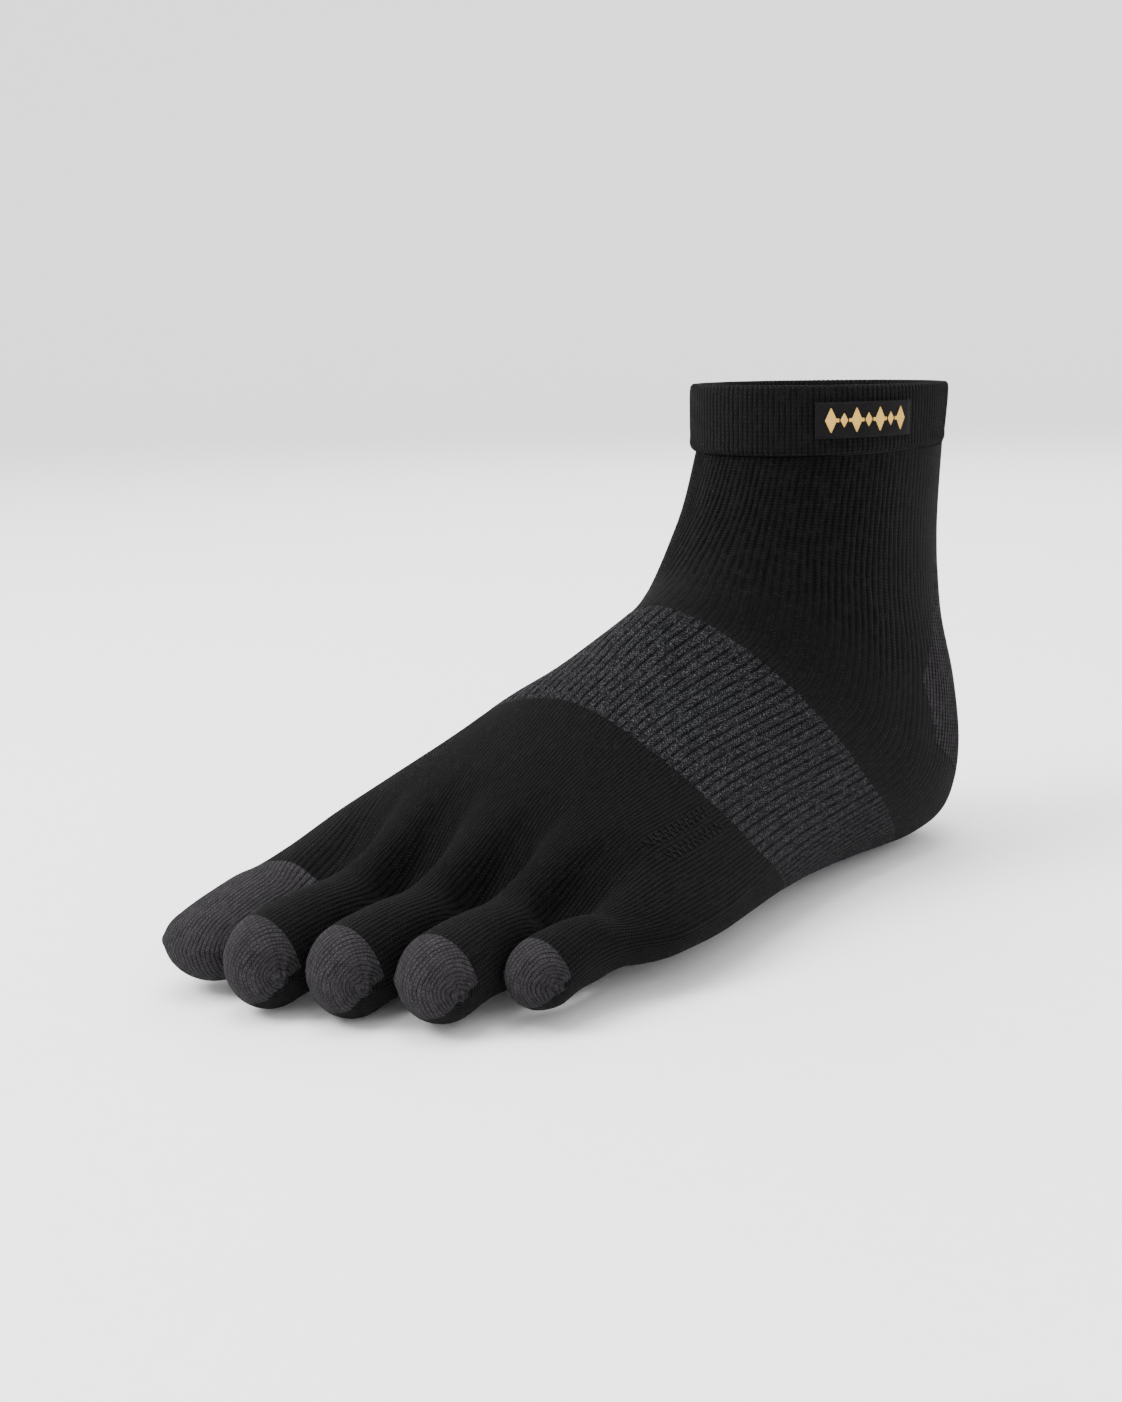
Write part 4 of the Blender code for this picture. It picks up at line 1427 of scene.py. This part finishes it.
@dataclass
class Label:
    """The woven label on the cuff, with a plain row of gold diamonds joined by bars."""

    cuff: Cuff
    width: float = 0.030
    height: float = 0.0090
    wall: float = 0.0008
    turn: float = 31.0
    columns: int = 120
    rows: int = 36
    thread_pitch: float = 0.00034
    lift: float = 0.00028
    gold_pitch: float = 0.00036
    gold_wall: float = 0.0002
    face_wave: float = 0.00004
    edge_drop: float = 0.00022
    motif_pitch: float = 0.0036
    large_diamond: tuple[float, float] = (0.0032, 0.0060)
    small_diamond: tuple[float, float] = (0.0022, 0.0034)
    bar: tuple[float, float] = (0.0008, 0.0009)

    def place(self, across: np.ndarray, high: np.ndarray, lift: np.ndarray) -> np.ndarray:
        """Points on the label.

        Args:
            across: Metres from its middle, towards the toes.
            high: Metres from its middle, upwards.
            lift: Metres out from its face.

        Returns:
            The points, in an array of the same shape.
        """
        proud = self.cuff.proud + self.cuff.gap + self.wall
        fine = np.linspace(-0.5, math.pi / 2, 361)
        middle = self.cuff.ring(0.5, fine, proud)
        run = run_length(middle)
        angles = np.interp(np.interp(math.radians(self.turn), fine, run) + across, run, fine)
        points = [
            self.cuff.ring(0.5 + up / self.cuff.height, np.array([angle]), proud + out)[0]
            for angle, up, out in zip(angles.ravel(), high.ravel(), lift.ravel())
        ]
        return np.array(points).reshape(*across.shape, 3)

    def build(self, shop: Workshop) -> None:
        """Weaves the label and sews its motif."""
        across, high = np.meshgrid(
            np.linspace(-0.5, 0.5, self.columns + 1) * self.width,
            np.linspace(0.5, -0.5, self.rows + 1) * self.height,
        )
        edge = np.maximum(np.abs(across) / (0.5 * self.width), np.abs(high) / (0.5 * self.height))
        lift = self.face_wave * np.cos(across * 900.0) - self.edge_drop * eased(edge, 0.90, 1.0)
        points = self.place(across, high, lift)
        swatch = Swatch(points, across / self.thread_pitch, high / self.thread_pitch, np.zeros(across.shape))
        skin = raise_stitches(join_swatches([swatch]))
        shop.add("label_weave", skin, WovenFinish(), "woven_label", "label", self.wall * 0.7)
        shapes = [self.shape(*row) for row in self.motif()]
        skin = raise_stitches(join_swatches(shapes))
        shop.add("label_gold_thread", skin, ThreadFinish(), "woven_label", None, self.gold_wall)

    def motif(self) -> list[tuple[float, float, float, float]]:
        """The motif: for each shape its middle, width, height and how pointed it is."""
        rows = []
        for step in range(-3, 4):
            size = self.large_diamond if step % 2 == 1 else self.small_diamond
            rows.append((step * self.motif_pitch, *size, 1.0))
            if step < 3:
                rows.append(((step + 0.5) * self.motif_pitch, *self.bar, 0.0))
        return rows

    def shape(self, middle: float, width: float, height: float, pointed: float) -> Swatch:
        """One satin-stitched shape of the motif."""
        across, high = np.meshgrid(np.linspace(-1.0, 1.0, 13), np.linspace(1.0, -1.0, 13))
        narrow = 1.0 - pointed * 0.93 * np.abs(high)
        lift = self.lift * (1.0 - 0.75 * across**2) * (1.0 - 0.35 * high**2)
        points = self.place(middle + 0.5 * width * across * narrow, 0.5 * height * high, lift)
        wales = 0.5 * height * high / self.gold_pitch
        courses = 0.5 * width * across / self.gold_pitch
        return Swatch(points, wales, courses, np.zeros(across.shape))


# The soft lamps: name, place, size across and power.
LAMPS = (
    ("key_lamp", (-0.55, -1.05, 1.25), 0.9, 36.0),
    ("fill_lamp", (1.25, -0.65, 0.75), 1.0, 4.0),
    ("back_lamp", (-0.75, 1.15, 1.0), 0.9, 10.0),
    ("top_lamp", (-0.15, -0.1, 1.8), 1.2, 28.0),
)
LAMP_AIM = Vector((0.0, -0.06, 0.05))
SKY_STRENGTH = 1.9


@dataclass
class Studio:
    """A pale round studio with soft lamps, and the camera."""

    azimuth: float = 39.0741
    distance: float = 0.5271
    aim_shift: float = -0.06
    height: float = 0.152
    pan: float = 3.2859
    tilt: float = 10.7868
    roll: float = -1.3261
    focal_share: float = 2016.0 / 1402.0
    floor_radius: float = 2.4
    bend: float = 0.7
    wall_height: float = 1.5

    def backdrop(self) -> None:
        """Turns a floor that rises all round into a wall."""
        bm = bmesh.new()
        line = [(0.0, 0.0), (self.floor_radius, 0.0)]
        line += [
            (self.floor_radius + self.bend * math.sin(turn), self.bend - self.bend * math.cos(turn))
            for turn in np.linspace(0.0, math.pi / 2, 13)[1:]
        ]
        line.append((self.floor_radius + self.bend, self.bend + self.wall_height))
        verts = [bm.verts.new((out, 0.0, high)) for out, high in line]
        edges = [bm.edges.new(ends) for ends in zip(verts, verts[1:])]
        bmesh.ops.spin(
            bm, geom=verts + edges, cent=(0, 0, 0), axis=(0, 0, 1), angle=2 * math.pi, steps=96, use_merge=True
        )
        bmesh.ops.remove_doubles(bm, verts=bm.verts[:], dist=1e-5)
        bmesh.ops.recalc_face_normals(bm, faces=bm.faces[:])
        bmesh.ops.translate(bm, verts=bm.verts[:], vec=(0.0, -0.05, CAD_BOX[0][2] - 0.0002))
        mesh = settled(bm, "studio_floor")
        mesh.shade_smooth()
        bench = DyeBench("pale_paper")
        speck = bench.grain(220.0)
        colour = bench.blend((0.86, 0.86, 0.86, 1.0), (0.90, 0.90, 0.90, 1.0), speck)
        bench.finish(colour, 0.9, speck, 0.0001)
        mesh.materials.append(bench.material)
        floor = bpy.data.objects.new("studio_floor", mesh)
        bpy.context.scene.collection.objects.link(floor)

    def lamp(self, name: str, place: tuple[float, float, float], size: float, power: float) -> None:
        """Hangs a soft lamp that points at the sock."""
        light = bpy.data.lights.new(name, "AREA")
        light.shape = "DISK"
        light.size = size
        light.energy = power
        lamp = bpy.data.objects.new(name, light)
        lamp.location = place
        aim = LAMP_AIM - Vector(place)
        lamp.rotation_euler = aim.to_track_quat("-Z", "Y").to_euler()
        bpy.context.scene.collection.objects.link(lamp)

    def light(self) -> None:
        """Hangs the lamps and sets the sky."""
        for lamp in LAMPS:
            self.lamp(*lamp)
        world = bpy.data.worlds.new("studio_sky")
        world.use_nodes = True
        sky = world.node_tree.nodes["Background"].inputs
        sky["Color"].default_value = (1.0, 1.0, 1.0, 1.0)
        sky["Strength"].default_value = SKY_STRENGTH
        bpy.context.scene.world = world

    def camera(self) -> None:
        """Sets the camera where the photograph was taken from."""
        around, heading = math.radians(self.azimuth), math.radians(self.azimuth + self.pan)
        tilt, roll = math.radians(self.tilt), math.radians(self.roll)
        ahead = Vector((
            -math.sin(heading) * math.cos(tilt),
            math.cos(heading) * math.cos(tilt),
            -math.sin(tilt),
        ))
        right = ahead.cross(Vector((0.0, 0.0, 1.0))).normalized()
        up = right.cross(ahead)
        turned = right * math.cos(roll) + up * math.sin(roll)
        up = up * math.cos(roll) - right * math.sin(roll)
        lens = bpy.data.cameras.new("camera")
        lens.sensor_fit = "VERTICAL"
        lens.sensor_height = 36.0
        lens.lens = 36.0 * self.focal_share
        lens.clip_start = 0.01
        camera = bpy.data.objects.new("camera", lens)
        place = (
            math.sin(around) * self.distance,
            -math.cos(around) * self.distance + self.aim_shift,
            self.height,
        )
        turn = Matrix((turned, up, -ahead)).transposed().to_4x4()
        camera.matrix_world = Matrix.Translation(place) @ turn
        bpy.context.scene.collection.objects.link(camera)
        bpy.context.scene.camera = camera

    def build(self) -> None:
        """Sets up the studio."""
        self.camera()
        self.backdrop()
        self.light()


def main() -> None:
    """Builds the sock and its studio."""
    logging.basicConfig(level=logging.INFO, format="%(message)s")
    collection = bpy.data.collections.new("toe_sock")
    bpy.context.scene.collection.children.link(collection)
    shop = Workshop(collection)
    Studio().build()
    cuff = Cuff()
    cuff.build(shop)
    Label(cuff).build(shop)
    Leg().build(shop)
    ArchBand().build(shop)
    Front().build(shop)


if __name__ == "__main__":
    main()
